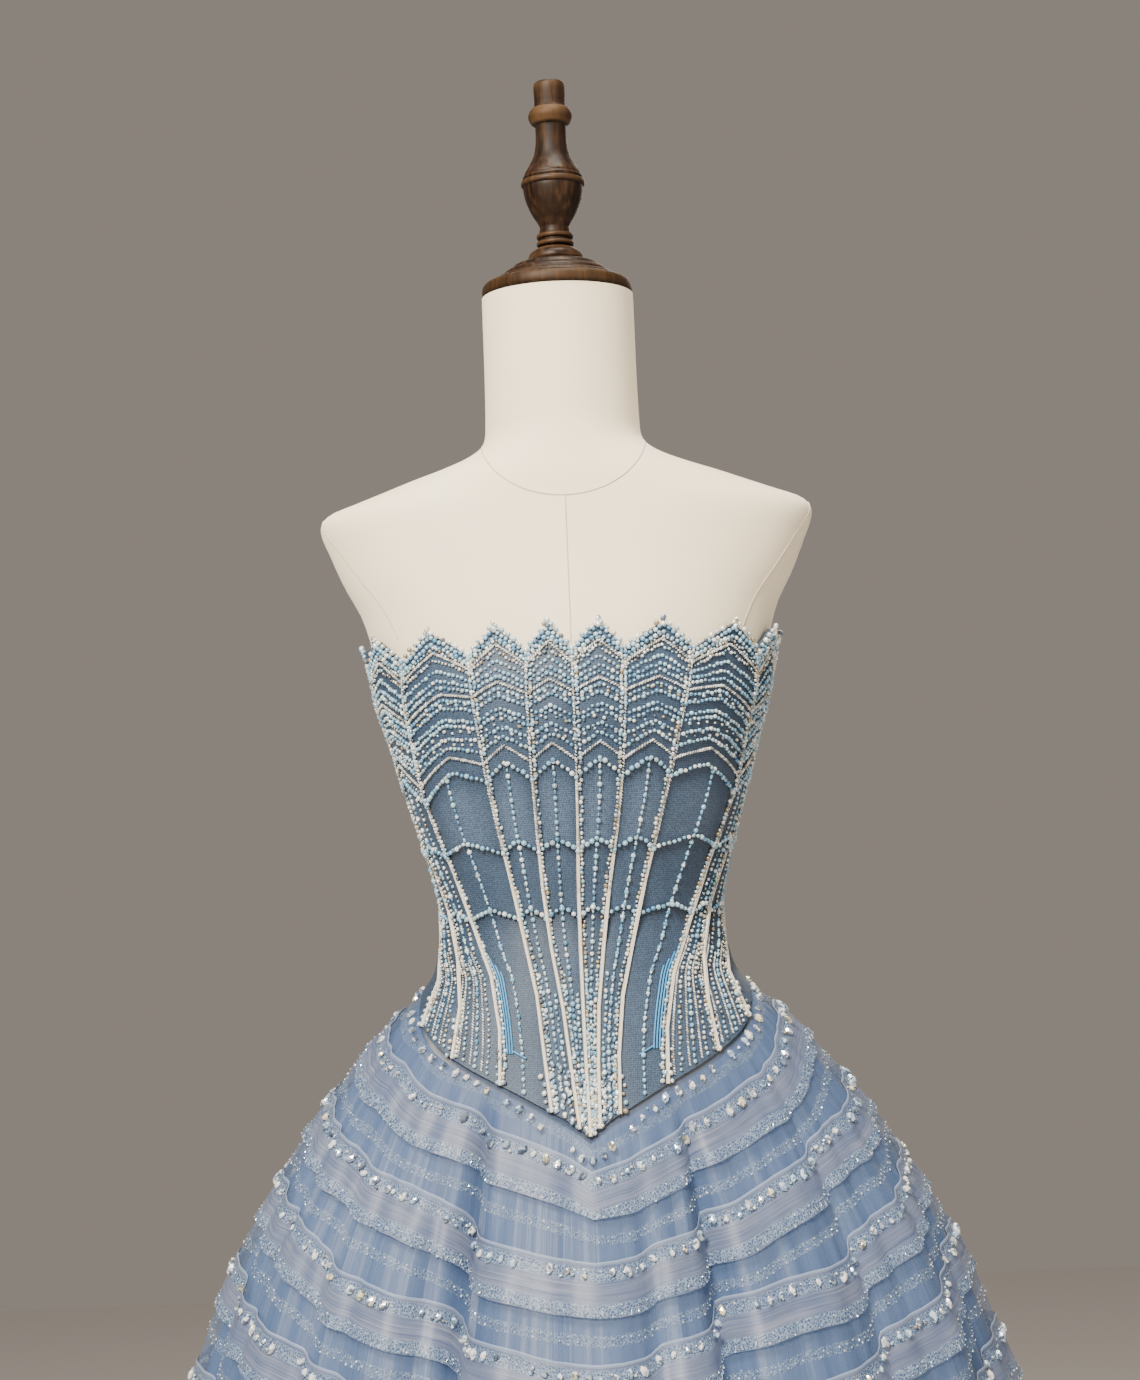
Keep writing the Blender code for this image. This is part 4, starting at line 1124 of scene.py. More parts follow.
CRYSTAL = crystal_finish()
GLITTER = toned_finish("glitter", (
    (0.0, (0.13, 0.21, 0.36)), (0.36, (0.24, 0.34, 0.50)), (0.66, (0.44, 0.55, 0.70)),
    (0.86, (0.92, 0.95, 0.98))), 0.14, {"Metallic": 0.35, "Coat Weight": 0.4})
GLITTER_DOT = toned_finish("glitter_dot", (
    (0.0, (0.30, 0.42, 0.58)), (0.4, (0.52, 0.64, 0.76)), (0.8, (0.93, 0.96, 0.98))), 0.12,
    {"Metallic": 0.25, "Coat Weight": 0.5})
IVORY_CORD = toned_finish("ivory_cord", (
    (0.0, (0.50, 0.50, 0.47)), (0.3, (0.74, 0.74, 0.71)), (0.6, (0.32, 0.32, 0.31)),
    (0.78, (0.88, 0.88, 0.86))), 0.40, {"Sheen Weight": 0.2})
SKY_THREAD = new_finish("sky_thread", (0.045, 0.27, 0.55), 0.35, {"Sheen Weight": 0.2})[0]
SEED = (0.0034, 0.0031, 0.0031)
ALL_PANELS = range(len(PANELS))


# %% Lines on the panels
def on_panel(panel, share, height, out=0.0008):
    """One line on a panel."""
    share, height = np.broadcast_arrays(np.asarray(share, float), np.asarray(height, float))
    return panel_point(panel, share, height, out)


def down_panel(panel, share, top, low, steps, out=0.0008):
    """A line down one panel, from one height to another."""
    return on_panel(panel, share, np.linspace(top, low, steps), out)


def clear_shares(panel, steps=25):
    """Shares across a panel, kept clear of the zip on the two back panels."""
    first = ZIP_SHARE if panel == 0 else 0.0
    last = 1.0 - ZIP_SHARE if panel == len(PANELS) - 1 else 1.0
    return np.linspace(first, last, steps)


def rows_of(rows, out=0.0008, panels=ALL_PANELS):
    """Lines for (drop, rise) rows across the panels."""
    lines = []
    for drop, rise in rows:
        for panel in panels:
            share = clear_shares(panel)
            lines.append(on_panel(panel, share, row_height(panel, share, drop, rise), out))
    return lines


def aside(line, distance):
    """A line moved sideways along the surface, to the wearer's left if positive."""
    points, out = line
    tangent = unit(np.gradient(points, axis=0))
    return points + unit(np.cross(tangent, out)) * distance, out


# %% [markdown]
# ## Beads on the bodice
# The neckline carries large round beads with clear ones on the very edge, then a dense ivory filling.
# Chevron rows follow the neckline's points down to the upper tier's edge, with two ivory cords among
# them. Strings of round and long beads run down the middle of each panel, and each bone is a twisted
# cord with small mixed beads along its outer side.

# %% Neckline
beads("neckline_edge", rows_of(((-0.0012, 0.0212),), 0.0012), MIXED_BEAD, "bead", 0.0062,
      (0.0044, 0.0044, 0.0042), variation=0.18, stray=0.0006, rings=5, seed=11)
beads("neckline_rows", rows_of(((0.0024, 0.0206), (0.0060, 0.0190)), 0.0012), PEARL_BLUE, "bead",
      0.0041, (0.0038, 0.0037, 0.0036), variation=0.2, stray=0.0008, seed=12)
beads("neckline_fill", rows_of(((0.0083, 0.0186), (0.0140, 0.0168)), 0.0010),
      MIXED_BEAD, "bead", 0.0031, (0.0029, 0.0025, 0.0024), scatter=0.8, variation=0.3,
      stray=0.0011, rings=3, seed=13)


TIP_REACH = 0.0026


def point_tips():
    """A short upright line at each point of the neckline."""
    lines = []
    for panel in ALL_PANELS:
        top = row_height(panel, 0.5, 0.0, NECKLINE_POINT)
        lines.append(down_panel(panel, 0.5, top - TIP_REACH, top + TIP_REACH, 4, 0.0018))
    return lines


beads("neckline_tips", point_tips(), CRYSTAL, "bead", 0.0046, (0.0050, 0.0048, 0.0046), variation=0.1,
      sides=8, rings=6, seed=14)

# %% Chevrons: (drop at the bones, rise) of each row
BEAD_ROWS = ((0.0190, 0.0140), (0.0235, 0.0118), (0.0272, 0.0106), (0.0360, 0.0101), (0.0415, 0.0100),
             (0.0500, 0.0096), (0.0545, 0.0096), (0.0640, 0.0100), (0.0725, 0.0115))
CORD_ROWS = ((0.0108, 0.0180), (0.0315, 0.0100), (0.0815, 0.0134))
beads("chevron_beads", rows_of(BEAD_ROWS), PEARL_BLUE, "bead", 0.0037, SEED, variation=0.25,
      stray=0.0007, rings=3, seed=21)
beads("chevron_specks", rows_of(((0.0385, 0.0101), (0.0580, 0.0097), (0.0672, 0.0102)), 0.0006),
      MIXED_BEAD, "bead", 0.0074, (0.0030, 0.0027, 0.0027), variation=0.3, stray=0.0018, rings=3,
      seed=22)

# %% Tier edges
SCALLOP_BEAD = (0.0041, 0.0038, 0.0036)


def tier_lines():
    """Beaded edges of the three net tiers."""
    lines = rows_of((CHEVRON_EDGE,), 0.0010)
    for number in (1, 2):
        for panel in ALL_PANELS:
            share = clear_shares(panel)
            edge = tier_edges(panel, share)[number] + 2 * TIER_STEP
            lines.append(on_panel(panel, share, edge, 0.0010))
    return lines


beads("tier_edge_beads", tier_lines(), PEARL_BLUE, "bead", 0.0043, SCALLOP_BEAD,
      variation=0.22, stray=0.0006, seed=31)


# %% Strings down the panels
STRING_START = 0.002          # strings start this far below a tier's edge


def strings(share, top, panels):
    """Strings down to the lower edge, from a height or from under the tier of that number."""
    lines = []
    for panel in panels:
        low = bottom_height(panel, share) + 0.004
        high = top
        if isinstance(top, int):
            high = tier_edges(panel, share)[top] - STRING_START
        lines.append(down_panel(panel, share, high, low, 60))
    return lines


FRONT_PANELS = range(5, 9)
middle_strings = strings(0.5, 0, ALL_PANELS)
beads("string_rounds", middle_strings, PEARL_BLUE, "bead", 0.0092, (0.0038, 0.0037, 0.0036),
      variation=0.2, seed=41)
beads("string_longs", middle_strings, PEARL_BLUE, "bead", 0.0046, (0.0040, 0.0021, 0.0021),
      scatter=0.2, variation=0.2, stray=0.0003, seed=42)
lower_strings = strings(0.27, -0.045, FRONT_PANELS) + strings(0.74, -0.060, FRONT_PANELS)
beads("lower_strings", lower_strings, PEARL_BLUE, "bead", 0.0043, (0.0036, 0.0026, 0.0026),
      scatter=0.5, variation=0.35, stray=0.0008, seed=43)


# %% Bones
def bone_lines():
    """A line down every bone, from the neckline to the lower edge."""
    lines = []
    for panel in ALL_PANELS[1:]:
        top = row_height(panel, 0.0, 0.0, 0.0) - 0.001
        low = bottom_height(panel, 0.0) + 0.002
        lines.append(down_panel(panel, 0.0, top, low, 70, 0.0014))
    return lines


BONE_LINES = bone_lines()
ROPE_TILT = math.radians(38)
beads("bone_cords", BONE_LINES, IVORY_CORD, "bone_cord", 0.0024, (0.0031, 0.0013, 0.0016),
      tilt=ROPE_TILT, scatter=0.35, variation=0.24, sides=5, rings=3, seed=51)
beads("chevron_cords", rows_of(CORD_ROWS, 0.0012), IVORY_CORD, "bone_cord", 0.0023,
      (0.0038, 0.0017, 0.0022), tilt=ROPE_TILT, scatter=0.2, variation=0.18, sides=5, rings=3, seed=52)


def bone_sides():
    """Lines on the outer side of each bone."""
    lines = []
    for bone, line in zip(BONES, BONE_LINES):
        outer = -1.0 if bone[1] <= 0.0 else 1.0
        lines.append(aside(line, outer * 0.0029))
    return lines


beads("bone_beads", bone_sides(), MIXED_BEAD, "bead", 0.0034, (0.0033, 0.0029, 0.0028), scatter=0.8,
      variation=0.32, stray=0.0009, rings=3, seed=53)

# %% [markdown]
# ## Dense beading at the sides and at the point
# The side panels are filled with rows of small beads. Below the waist the bones end in clusters of
# clear beads, densest at the front point. Two strips of bright thread lie beside the third bones.


# %% Side filling and clusters
SIDE_PANELS = (1, 2, 3, 10, 11, 12)
CORDED_PANELS = (2, 3, 10, 11)
SIDE_ROWS = ((0.0275, 0.0110), (0.0360, 0.0100), (0.0450, 0.0098), (0.0560, 0.0096), (0.0680, 0.0100),
             (0.0740, 0.0110), (0.0880, 0.0138))
beads("side_filling", rows_of(SIDE_ROWS, 0.0006, SIDE_PANELS), MIXED_BEAD, "bead", 0.0031,
      (0.0025, 0.0022, 0.0021), scatter=0.8, variation=0.25, stray=0.0012, rings=3, seed=61)


def side_strings():
    """Extra strings down the side panels, from the chevrons to the lower edge."""
    return strings(0.25, 0, CORDED_PANELS) + strings(0.75, 0, CORDED_PANELS)


beads("side_strings", side_strings(), MIXED_BEAD, "bead", 0.0040, (0.0030, 0.0026, 0.0025),
      scatter=0.5, variation=0.3, stray=0.0008, rings=3, seed=62)


def side_cord_lines():
    """Short cords that gather at the waist, below the lowest tier's edge."""
    lines = []
    for share, top in ((0.12, -0.020), (0.40, -0.034), (0.64, -0.026)):
        lines += strings(share, top, CORDED_PANELS)
    return lines


beads("side_cords", side_cord_lines(), IVORY_CORD, "bone_cord", 0.0021, (0.0032, 0.0013, 0.0017),
      tilt=ROPE_TILT, scatter=0.15, variation=0.15, sides=5, rings=3, seed=65)


TIP_LENGTH = 0.034            # how far the clear beads reach up from the lower edge


def bone_ends(sides):
    """The last stretch of each front bone, on both sides of it."""
    lines = []
    for points, out in BONE_LINES[1:12]:
        step = run_lengths(points, 0)[-1] / (len(points) - 1)
        count = max(3, int(TIP_LENGTH / step))
        for side in sides:
            lines.append(aside((points[-count:], out[-count:]), side))
    return lines


beads("bone_end_beads", bone_ends((-0.0028, 0.0032)), MIXED_BEAD, "bead", 0.0052,
      (0.0040, 0.0034, 0.0034), scatter=1.2, variation=0.3, stray=0.0016, seed=63)


def tip_lines():
    """Short lines at the front point, across the four panels that end there."""
    lines = []
    for panel in FRONT_PANELS:
        for share in (0.2, 0.5, 0.8):
            low = bottom_height(panel, share) + 0.003
            lines.append(down_panel(panel, share, low + TIP_LENGTH, low, 12, 0.0012))
    return lines


beads("point_beads", tip_lines(), CRYSTAL, "bead", 0.0062, (0.0054, 0.0034, 0.0034), scatter=0.5,
      variation=0.3, stray=0.0016, seed=64)


# %% Bright thread strips
def thread_lines():
    """Four threads side by side inside each third bone, and one on towards the centre."""
    lines = []
    for panel, first, step in ((4, 0.09, 0.062), (9, 0.91, -0.062)):
        for number in range(4):
            start = -0.026 - 0.005 * number
            lines.append(down_panel(panel, first + step * number, start, -0.102, 24, 0.0010))
        share = first + step * np.linspace(3.0, 8.0, 12)
        lines.append(on_panel(panel, share, np.linspace(-0.100, -0.106, 12), 0.0008))
    return lines


THREAD_RADIUS = 0.00075
cords("sky_threads", thread_lines(), SKY_THREAD, THREAD_RADIUS, 5)

# %% [markdown]
# ## Distances down the skirt
# The skirt's rings run parallel to the bodice's edge at first and level out towards the hem. A place
# on the skirt is therefore given as a turn and a distance down the cloth. A table of slope lengths
# turns that into a height.

# %% From distance to height
PARALLEL_DROP = 0.300         # rings run parallel to the bodice's edge down to here
ROUNDING_DROP = 0.120         # and are fully rounded at its points from here
ROUNDING_TURNS = (-9, -6, -3, 0, 3, 6, 9)
TABLE_STEPS = 161


def skirt_table():
    """Height for every whole turn and for even distances down the cloth."""
    turns = np.arange(-180.0, 181.0)
    top = edge_height(turns)[:, None]
    heights = top + (HEM - top) * np.linspace(0.0, 1.0, TABLE_STEPS)
    points = gown_point(turns[:, None], heights, creased=False)
    lengths = run_lengths(points, 1)
    front = lengths[180, -1]
    distances = np.linspace(0.0, front, 2 * TABLE_STEPS)
    beyond = np.maximum(distances - PARALLEL_DROP, 0.0) / (front - PARALLEL_DROP)
    rows = []
    for length, height in zip(lengths, heights):
        rows.append(np.interp(distances + beyond * (length[-1] - front), length, height))
    straight = np.array(rows)[:-1]
    mean = np.mean([np.roll(straight, aside, axis=0) for aside in ROUNDING_TURNS], axis=0)
    share = np.minimum(distances / ROUNDING_DROP, 1.0)
    rounded = (1 - share) * straight + share * mean
    return np.concatenate([rounded, rounded[:1]]), front


SKIRT_HEIGHTS, FRONT_LENGTH = skirt_table()


def skirt_height(turn, distance):
    """Height at a turn and a distance down the cloth."""
    turn, distance = np.broadcast_arrays(turn, distance)
    place = (turn + 180.0) % 360.0
    column = np.minimum(place.astype(int), 359)
    along = place - column
    step = np.clip(distance / FRONT_LENGTH, 0.0, 1.0) * (SKIRT_HEIGHTS.shape[1] - 1)
    row = np.minimum(step.astype(int), SKIRT_HEIGHTS.shape[1] - 2)
    down = step - row
    near = SKIRT_HEIGHTS[column, row] * (1 - down) + SKIRT_HEIGHTS[column, row + 1] * down
    far = SKIRT_HEIGHTS[column + 1, row] * (1 - down) + SKIRT_HEIGHTS[column + 1, row + 1] * down
    return near * (1 - along) + far * along


def on_skirt(turn, distance, out):
    """Points on the skirt, and its outward directions."""
    turn, distance = np.broadcast_arrays(np.asarray(turn, float), np.asarray(distance, float))
    height = skirt_height(turn, distance)
    normal = gown_normal(turn, height)
    return gown_point(turn, height) + normal * np.asarray(out)[..., None], normal


print("front length of the skirt", round(float(FRONT_LENGTH), 3))

# %% [markdown]
# ## Under-skirt and net
# The under-skirt is opaque, finely gathered at the top, and gives the skirt its blue. The net over it
# is sheer and stays one layer thick, with its transparency set on the shader. Both are cut in four
# gores. The net's top edge is tucked behind the bodice's.


# %% Lace
BAND_COUNT = 13
BAND_FIRST = 0.030            # distance of the first band down the cloth
BAND_PITCH = 0.0740
BAND_WIDTH = 0.0420
LACE_LINE = BAND_FIRST + 0.0580   # the strip of lace between two bands
LACE_CELL = 0.0022


def lace(tree, place):
    """Fine pale loops of thread, on a UV map in metres."""
    stir = add_node(tree, "ShaderNodeTexNoise", {"Vector": place, "Scale": 500.0, "Detail": 1.0})
    bent = add_node(tree, "ShaderNodeVectorMath",
                    {0: stir.outputs["Color"], 1: (0.0022, 0.0022, 0.0)}, operation="MULTIPLY")
    moved = add_node(tree, "ShaderNodeVectorMath", {0: place, 1: bent.outputs[0]}, operation="ADD")
    loops = add_node(tree, "ShaderNodeTexVoronoi",
                     {"Vector": moved.outputs[0], "Scale": 1.0 / LACE_CELL}, feature="DISTANCE_TO_EDGE")
    return ramp(tree, loops.outputs["Distance"], (
        (0.03, (0.38, 0.49, 0.65)), (0.08, (0.15, 0.220, 0.36)), (0.16, (0.068, 0.115, 0.230))))


# %% Under-skirt finish
def under_skirt_finish():
    """Blue satin with fine upright gathers and a soft sheen, the gathers' hollows in painted shade."""
    finish, tree, shader = new_finish("under_skirt_satin", (0.10, 0.19, 0.40), 0.42, {
        "Sheen Weight": 0.12, "Sheen Roughness": 0.35})
    place = reading(tree, "cut")
    gathers = noise(tree, place, 210.0, 3.0, (1.0, 0.03, 1.0))
    broad = noise(tree, place, 9.0, 2.0, (1.0, 0.35, 1.0))
    # painted shade: the colour follows the gathers' bump, darker in their hollows
    fine = ramp(tree, gathers, ((0.28, (0.037, 0.082, 0.212)), (0.72, (0.083, 0.150, 0.322))))
    soft = ramp(tree, broad, ((0.3, (0.88, 0.90, 0.93)), (0.7, (1.10, 1.08, 1.05))))
    paint(shader, mixed(tree, 1.0, fine, soft, "MULTIPLY"))
    add_bump(tree, shader, gathers, 0.6, 0.0012)
    return finish


def skirt_net_finish():
    """Sheer dusty-blue net with a silky haze."""
    finish, tree, shader = new_finish("skirt_net", (0.16, 0.23, 0.39), 0.55, {
        "Alpha": 0.40, "Sheen Weight": 0.15, "Sheen Roughness": 0.4})
    place, holes = net_pattern(tree, 0.0018)
    haze = noise(tree, place, 60.0, 3.0, (1.0, 0.06, 1.0))
    colour = ramp(tree, haze, ((0.3, (0.088, 0.148, 0.300)), (0.7, (0.132, 0.202, 0.360))))
    down = reading(tree, "shade")
    apart = maths(tree, "PINGPONG", maths(tree, "SUBTRACT", down, LACE_LINE), 0.5 * BAND_PITCH)
    in_centimetres = maths(tree, "MULTIPLY", apart, 100.0)
    strip = ramp(tree, in_centimetres, ((0.36, grey(1.0)), (0.44, grey(0.0))))
    laced = mixed(tree, strip, colour, lace(tree, place))
    paint(shader, laced)
    add_bump(tree, shader, holes, 0.3, 0.0003)
    return finish


UNDER_SATIN = under_skirt_finish()
SKIRT_NET = skirt_net_finish()

# %% Gores: (name, first turn, last turn)
GORES = (("front", -46.0, 44.0), ("left", 44.0, 141.5), ("back", 141.5, 232.0), ("right", 232.0, 314.0))
UNDER_DEPTH = 0.0090
UNDER_WALL = 0.0012
UNDER_RISE = 0.0050
UNDER_START = 0.005
LAP_DEPTH = 0.0026
PLEAT = 0.0011                # ripple of the under-skirt's gathers


def gore_turns(first, last, step):
    """Columns of a gore, a hair clear of its neighbours."""
    return np.linspace(first + 0.02, last - 0.02, int(round((last - first) / step)) + 1)


def under_grid(turns, distances, extra):
    """The under-skirt, gathered finely where it hangs behind the net."""
    depth = UNDER_DEPTH * np.minimum(0.35 + distances / 0.15, 1.0)[:, None] + extra
    angle = np.radians(turns)[None, :]
    ripple = np.sin(71 * angle) + 0.6 * np.sin(113 * angle + 1.3) + 0.5 * np.sin(47 * angle + 0.4)
    fade = (eased(distances, 0.01, 0.05) * (1 - 0.55 * eased(distances, 0.15, 0.9)))[:, None]
    height = skirt_height(turns[None, :], distances[:, None])
    height = height + UNDER_RISE * (distances / FRONT_LENGTH)[:, None] ** 8
    out = PLEAT * fade * ripple - depth
    return gown_point(turns, height) + gown_normal(turns, height, creased=False) * out[..., None]


def cut_uv(grid):
    """Coordinates in metres over a grid: across from its left edge, and down."""
    u = run_lengths(grid, 1)
    v = run_lengths(grid, 0)
    widest = u[-1:] if ring_like(grid) else u[len(u) // 2:len(u) // 2 + 1]
    return np.stack([np.broadcast_to(widest, u.shape), -v], axis=-1)


def ring_like(grid):
    """Whether a grid goes all the way round."""
    return bool(np.allclose(grid[:, 0], grid[:, -1], atol=1e-6))


# %% Jumps of the rings at the main folds: (turn, shift down on its left side, reach in degrees)
JUMPS = (
    (-22.0, 0.013, 11.0), (8.0, -0.0045, 5.0), (18.0, -0.011, 9.0), (-46.0, 0.0045, 10.0),
    (44.0, -0.0065, 12.0), (-72.0, 0.004, 10.0), (70.0, -0.0045, 10.0), (-100.0, -0.0055, 12.0),
    (98.0, 0.006, 12.0), (-128.0, 0.006, 12.0), (127.0, -0.0055, 12.0), (-157.0, -0.006, 12.0),
    (156.0, 0.0065, 12.0),
)
JUMP_TURNS = 1.6              # degrees over which a ring jumps


# %% How the rings wander
def wander(band, turn):
    """How far a ring strays down the cloth, and how far its lower edge flutters out."""
    angle = np.radians(turn)
    phase = 1.7 * band
    stray = (0.0026 * np.sin(4 * angle + phase) + 0.0018 * np.sin(9 * angle + 2.3 * phase)
             + 0.0011 * np.sin(17 * angle + 0.7 * phase))
    for middle, shift, reach in JUMPS:
        apart = turn_between(middle, turn)
        jump = shift * np.tanh(apart / JUMP_TURNS) * np.exp(-np.abs(apart) / reach)
        stray = stray + min(0.35 + 0.3 * band, 1.0) * jump
    flutter = np.sin(21 * angle + phase) + 0.7 * np.sin(34 * angle + 1.9 * phase)
    return stray, 0.0007 * flutter


def ring_distance(turn, distances):
    """Distances down the cloth as the rings see them, with their wandering taken off."""
    bands = np.arange(-1, BAND_COUNT + 2)
    places = BAND_FIRST + BAND_PITCH * bands
    strays = np.array([wander(max(band, 0), turn)[0] for band in bands])
    level = np.interp(distances, places + LACE_LINE - BAND_FIRST, strays)
    return distances - level


# %% Build the gores
def build_under_skirt():
    """Four opaque gores."""
    distances = UNDER_START + (FRONT_LENGTH - UNDER_START) * np.linspace(0.0, 1.0, 46) ** 1.2
    for name, first, last in GORES:
        turns = gore_turns(first, last, 0.9)
        outer = under_grid(turns, distances, 0.0)
        inner = under_grid(turns, distances, UNDER_WALL)
        piece = cloth("under_gore_" + name, UNDER_SATIN, outer, cut_uv(outer), inner)
        stand_in(piece, "under_skirt_" + name)


def build_net():
    """Four sheer gores, tucked behind the bodice's edge at the top."""
    distances = np.concatenate([[0.0, 0.003, 0.007, 0.012],
                                np.linspace(0.02, FRONT_LENGTH, 58)])
    tuck = LAP_DEPTH * (1 - eased(distances, 0.0, 0.007))
    for name, first, last in GORES:
        turns = gore_turns(first, last, 1.0)
        grid = on_skirt(turns, distances[:, None], -tuck[:, None] + 0 * turns)[0]
        rings = np.array([ring_distance(turn, distances) for turn in turns]).T
        piece = cloth("net_gore_" + name, SKIRT_NET, grid, cut_uv(grid), shades=rings)
        stand_in(piece, "skirt_net_" + name)


build_under_skirt()
build_net()

# %% [markdown]
# ## Horsehair bands
# Thirteen rings of horsehair braid are sewn round the net by their upper edges. Their lower edges
# stand off a little. Braid is woven of stiff clear threads, so it looks pale, with fine lines running
# along it. The rings wander by a few millimetres, as hand-sewn ones do.

# %% Across a band: (distance from its top edge, distance off the net)
BAND_SHAPE = (
    (0.0, 0.0013), (0.0006, 0.0017), (0.0014, 0.0017), (0.0022, 0.0013), (0.012, 0.0013),
    (0.023, 0.0015), (0.033, 0.0018), (0.0412, 0.0023), (0.042, 0.0021),
)


def crin_finish():
    """Pale, slightly sheer braid with fine lines along it and a bright bound edge."""
    finish, tree, shader = new_finish("horsehair_braid", (0.24, 0.28, 0.39), 0.42, {
        "Alpha": 0.62, "Sheen Weight": 0.12, "Sheen Roughness": 0.3})
    place = reading(tree, "cut")
    lines = noise(tree, place, 700.0, 3.0, (0.02, 1.0, 1.0))
    patches = noise(tree, place, 26.0, 3.0, (1.0, 1.6, 1.0))
    body = ramp(tree, lines, ((0.30, (0.095, 0.132, 0.240)), (0.52, (0.172, 0.210, 0.320)),
                              (0.75, (0.310, 0.340, 0.450))))
    cloudy = ramp(tree, patches, ((0.35, (0.80, 0.86, 0.98)), (0.65, (1.18, 1.12, 1.06))))
    woven = mixed(tree, 1.0, body, cloudy, "MULTIPLY")
    height = add_node(tree, "ShaderNodeSeparateXYZ", {0: place}).outputs["Y"]
    across = add_node(tree, "ShaderNodeMapRange", {
        "Value": height, "From Min": 0.0, "From Max": -BAND_WIDTH}).outputs["Result"]
    white, black = grey(1.0), grey(0.0)
    strips = ramp(tree, across, ((0.09, black), (0.12, white), (0.34, white), (0.38, black),
                                 (0.74, black), (0.78, white), (0.985, white), (1.0, black)))
    laced = mixed(tree, strips, woven, lace(tree, place))
    edge = ramp(tree, across, ((0.045, white), (0.075, black)))
    paint(shader, mixed(tree, edge, laced, (0.28, 0.35, 0.50)))
    add_bump(tree, shader, lines, 0.5, 0.0005)
    return finish


CRIN = crin_finish()


# %% Build the bands
def band_place(band, turn, across):
    """Distance down the cloth and distance off the net, at a place on a band."""
    stray, flutter = wander(band, turn)
    distance = BAND_FIRST + BAND_PITCH * band + across + stray
    out = np.interp(across, [row[0] for row in BAND_SHAPE], [row[1] for row in BAND_SHAPE])
    return distance, out + flutter * np.clip(across / BAND_WIDTH, 0.0, 1.0) ** 2


def build_bands():
    """Thirteen rings."""
    turns = np.linspace(-180.0, 180.0, 361)[None, :]
    across = np.array([row[0] for row in BAND_SHAPE])[:, None]
    for band in range(BAND_COUNT):
        distance, out = band_place(band, turns, across)
        grid = on_skirt(turns, distance, out)[0]
        piece = cloth(f"horsehair_{band + 1:02d}", CRIN, grid, cut_uv(grid), ring=True)
        stand_in(piece, f"crin_band_{band + 1:02d}")


build_bands()

# %% [markdown]
# ## Crystals and glitter on the skirt
# Every band has a row of crystals a centimetre below its top edge, in loose clusters, on a strip of
# lace. A second strip with tiny slanting slivers trims its lower edge, and a third lies half way to
# the next band. Small glittering dots are scattered over all three. Cut glass is only made of flat
# faces, so the crystals are shaded flat, and their colour is broken up by patches of painted glint
# and painted dark reflection.


# %% Lines round the skirt
HEM_MARGIN = 0.006


def ring_lines(across, out=0.0006):
    """For every band, a line round the skirt at a place across it or below it, if above the hem."""
    turns = np.linspace(-180.0, 180.0, 361)
    lines = []
    for band in range(BAND_COUNT):
        if BAND_FIRST + BAND_PITCH * band + across < FRONT_LENGTH - HEM_MARGIN:
            distance, lift = band_place(band, turns, across)
            if across > BAND_WIDTH:
                lift = 0 * turns
            lines.append(on_skirt(turns, distance, lift + out))
    return lines


SLANT = math.radians(74)
beads("trim_slivers", ring_lines(0.0388), GLITTER, "bead", 0.0056, (0.0044, 0.0009, 0.0008),
      tilt=SLANT, scatter=0.4, variation=0.25, stray=0.0006, sides=4, rings=2, smooth=False, seed=71)
beads("trim_dots", ring_lines(0.0405) + ring_lines(0.0340), GLITTER_DOT, "bead", 0.0070,
      (0.0016, 0.0016, 0.0014), scatter=1.5, variation=0.35, stray=0.0012, sides=4, rings=2,
      smooth=False, seed=72)
beads("between_dots", ring_lines(0.0608, 0.0008) + ring_lines(0.0565, 0.0008), GLITTER_DOT, "bead",
      0.0066, (0.0016, 0.0016, 0.0014), scatter=1.5, variation=0.35, stray=0.0014, sides=4,
      rings=2, smooth=False, seed=73)
beads("crystal_bed", ring_lines(0.0095), GLITTER_DOT, "bead", 0.0068, (0.0021, 0.0017, 0.0014),
      tilt=SLANT, scatter=1.2, variation=0.35, stray=0.0030, sides=4, rings=2, smooth=False, seed=74)


# %% Crystal clusters
CLUSTER_SHORT = 0.016
CLUSTER_LONG = 0.046
GAP_SHORT = 0.006
GAP_LONG = 0.030
EDGE_LINE = 0.0085            # distance of the first row below the bodice's edge
EDGE_DIP = 0.016              # how much lower it runs at the front point
chance = np.random.default_rng(7)


def clusters(line):
    """Stretches of a line, of uneven length, with gaps between them."""
    points, out = line
    place = run_lengths(points, 0)
    start = chance.uniform(0.0, GAP_LONG)
    pieces = []
    while start < place[-1] - CLUSTER_LONG:
        length = chance.uniform(CLUSTER_SHORT, CLUSTER_LONG)
        at = np.linspace(start, start + length, 6)
        pieces.append(tuple(np.stack([np.interp(at, place, values[:, axis]) for axis in range(3)], 1)
                            for values in (points, out)))
        start += length + chance.uniform(GAP_SHORT, GAP_LONG)
    return pieces


def crystal_lines():
    """Clusters on every band's row, and on the row just under the bodice."""
    turns = np.linspace(-180.0, 180.0, 361)
    first = EDGE_LINE + EDGE_DIP * np.exp(-(turns / 9.0) ** 2)
    rows = [on_skirt(turns, first, 0.0008)] + ring_lines(0.0105, 0.0012)
    lines = []
    for row in rows:
        lines += clusters(row)
    return lines


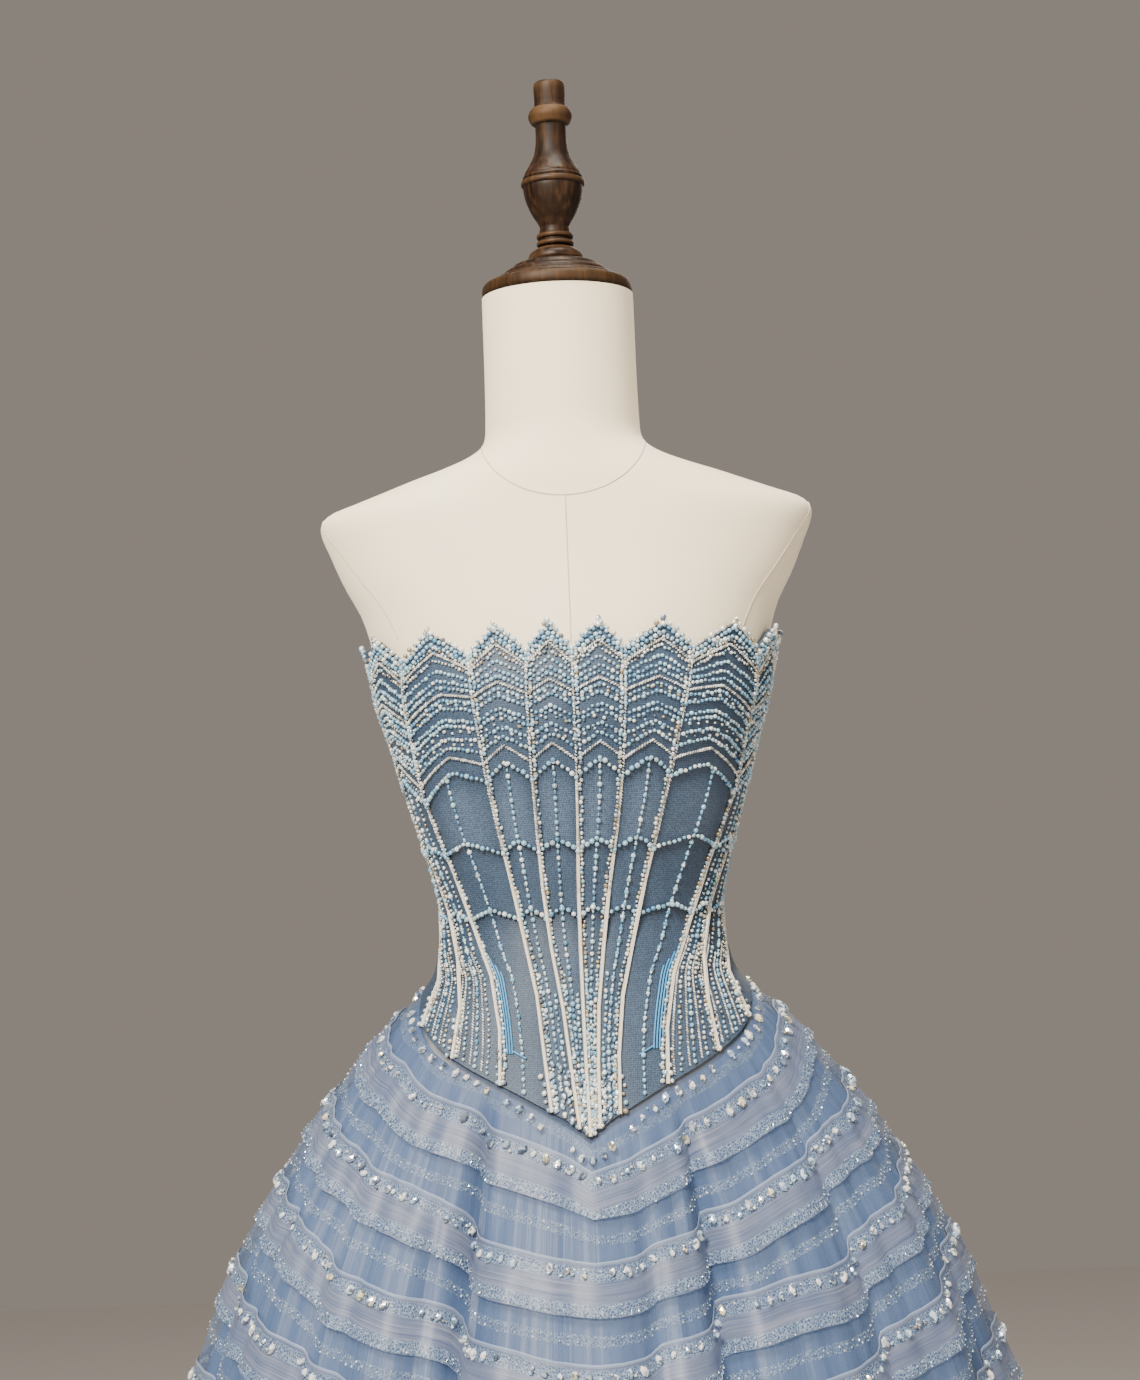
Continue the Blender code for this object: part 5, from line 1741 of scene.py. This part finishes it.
CRYSTAL_LINES = crystal_lines()
beads("skirt_crystals", CRYSTAL_LINES, CRYSTAL, "bead", 0.0096, (0.0078, 0.0052, 0.0046),
      tilt=math.radians(80), scatter=0.5, variation=0.3, stray=0.0018, sides=6, rings=4,
      smooth=False, seed=81)
beads("skirt_seeds", CRYSTAL_LINES, MIXED_BEAD, "bead", 0.0084, (0.0026, 0.0024, 0.0023), scatter=1.0,
      variation=0.3, stray=0.0036, rings=3, seed=82)

# %% [markdown]
# ## The zip
# A concealed zip closes the centre back. Its slider and its pull tab are hard parts that the model
# already has right, so they keep their meshes and get a better metal. The folded edges of the back
# panels meet over the teeth as two thin rolls.


# %% Zip
def zip_finish():
    """Nickel, lightly brushed and a little worn."""
    finish, tree, shader = new_finish("nickel", (0.62, 0.63, 0.65), 0.3, {"Metallic": 1.0})
    place = reading(tree, "Object")
    brushed = noise(tree, place, 2500.0, 3.0, (1.0, 1.0, 0.08))
    gloss = ramp(tree, brushed, ((0.3, grey(0.22)), (0.7, grey(0.42))))
    paint(shader, gloss, "Roughness")
    colour = ramp(tree, brushed, ((0.3, (0.50, 0.51, 0.53)), (0.7, (0.70, 0.71, 0.73))))
    paint(shader, colour)
    return finish


ROLL_LIFT = 0.0001
ROLL_RADIUS = 0.0006
ROLL_TURN = 0.55              # each roll's distance from the centre back, in degrees
ROLL_TOP = 0.1500
ROLL_END = -0.0780


def build_zip():
    """New metal for the slider and tab, and the two rolled edges over the teeth."""
    nickel = zip_finish()
    for name in ("zip_slider", "zip_pull"):
        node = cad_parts[name]
        if not node.material_slots:
            node.data.materials.append(nickel)
        node.material_slots[0].material = nickel
    lines = []
    for side in (-1, 1):
        heights = np.linspace(ROLL_TOP, ROLL_END, 60)
        turns = side * (180.0 - ROLL_TURN + 0 * heights)
        normal = gown_normal(turns, heights)
        lines.append((gown_point(turns, heights) + normal * ROLL_LIFT, normal))
    rolls = cords("zip_rolls", lines, BODICE_NET, ROLL_RADIUS, 6)
    rolls.data.uv_layers.new(name="cut")


build_zip()
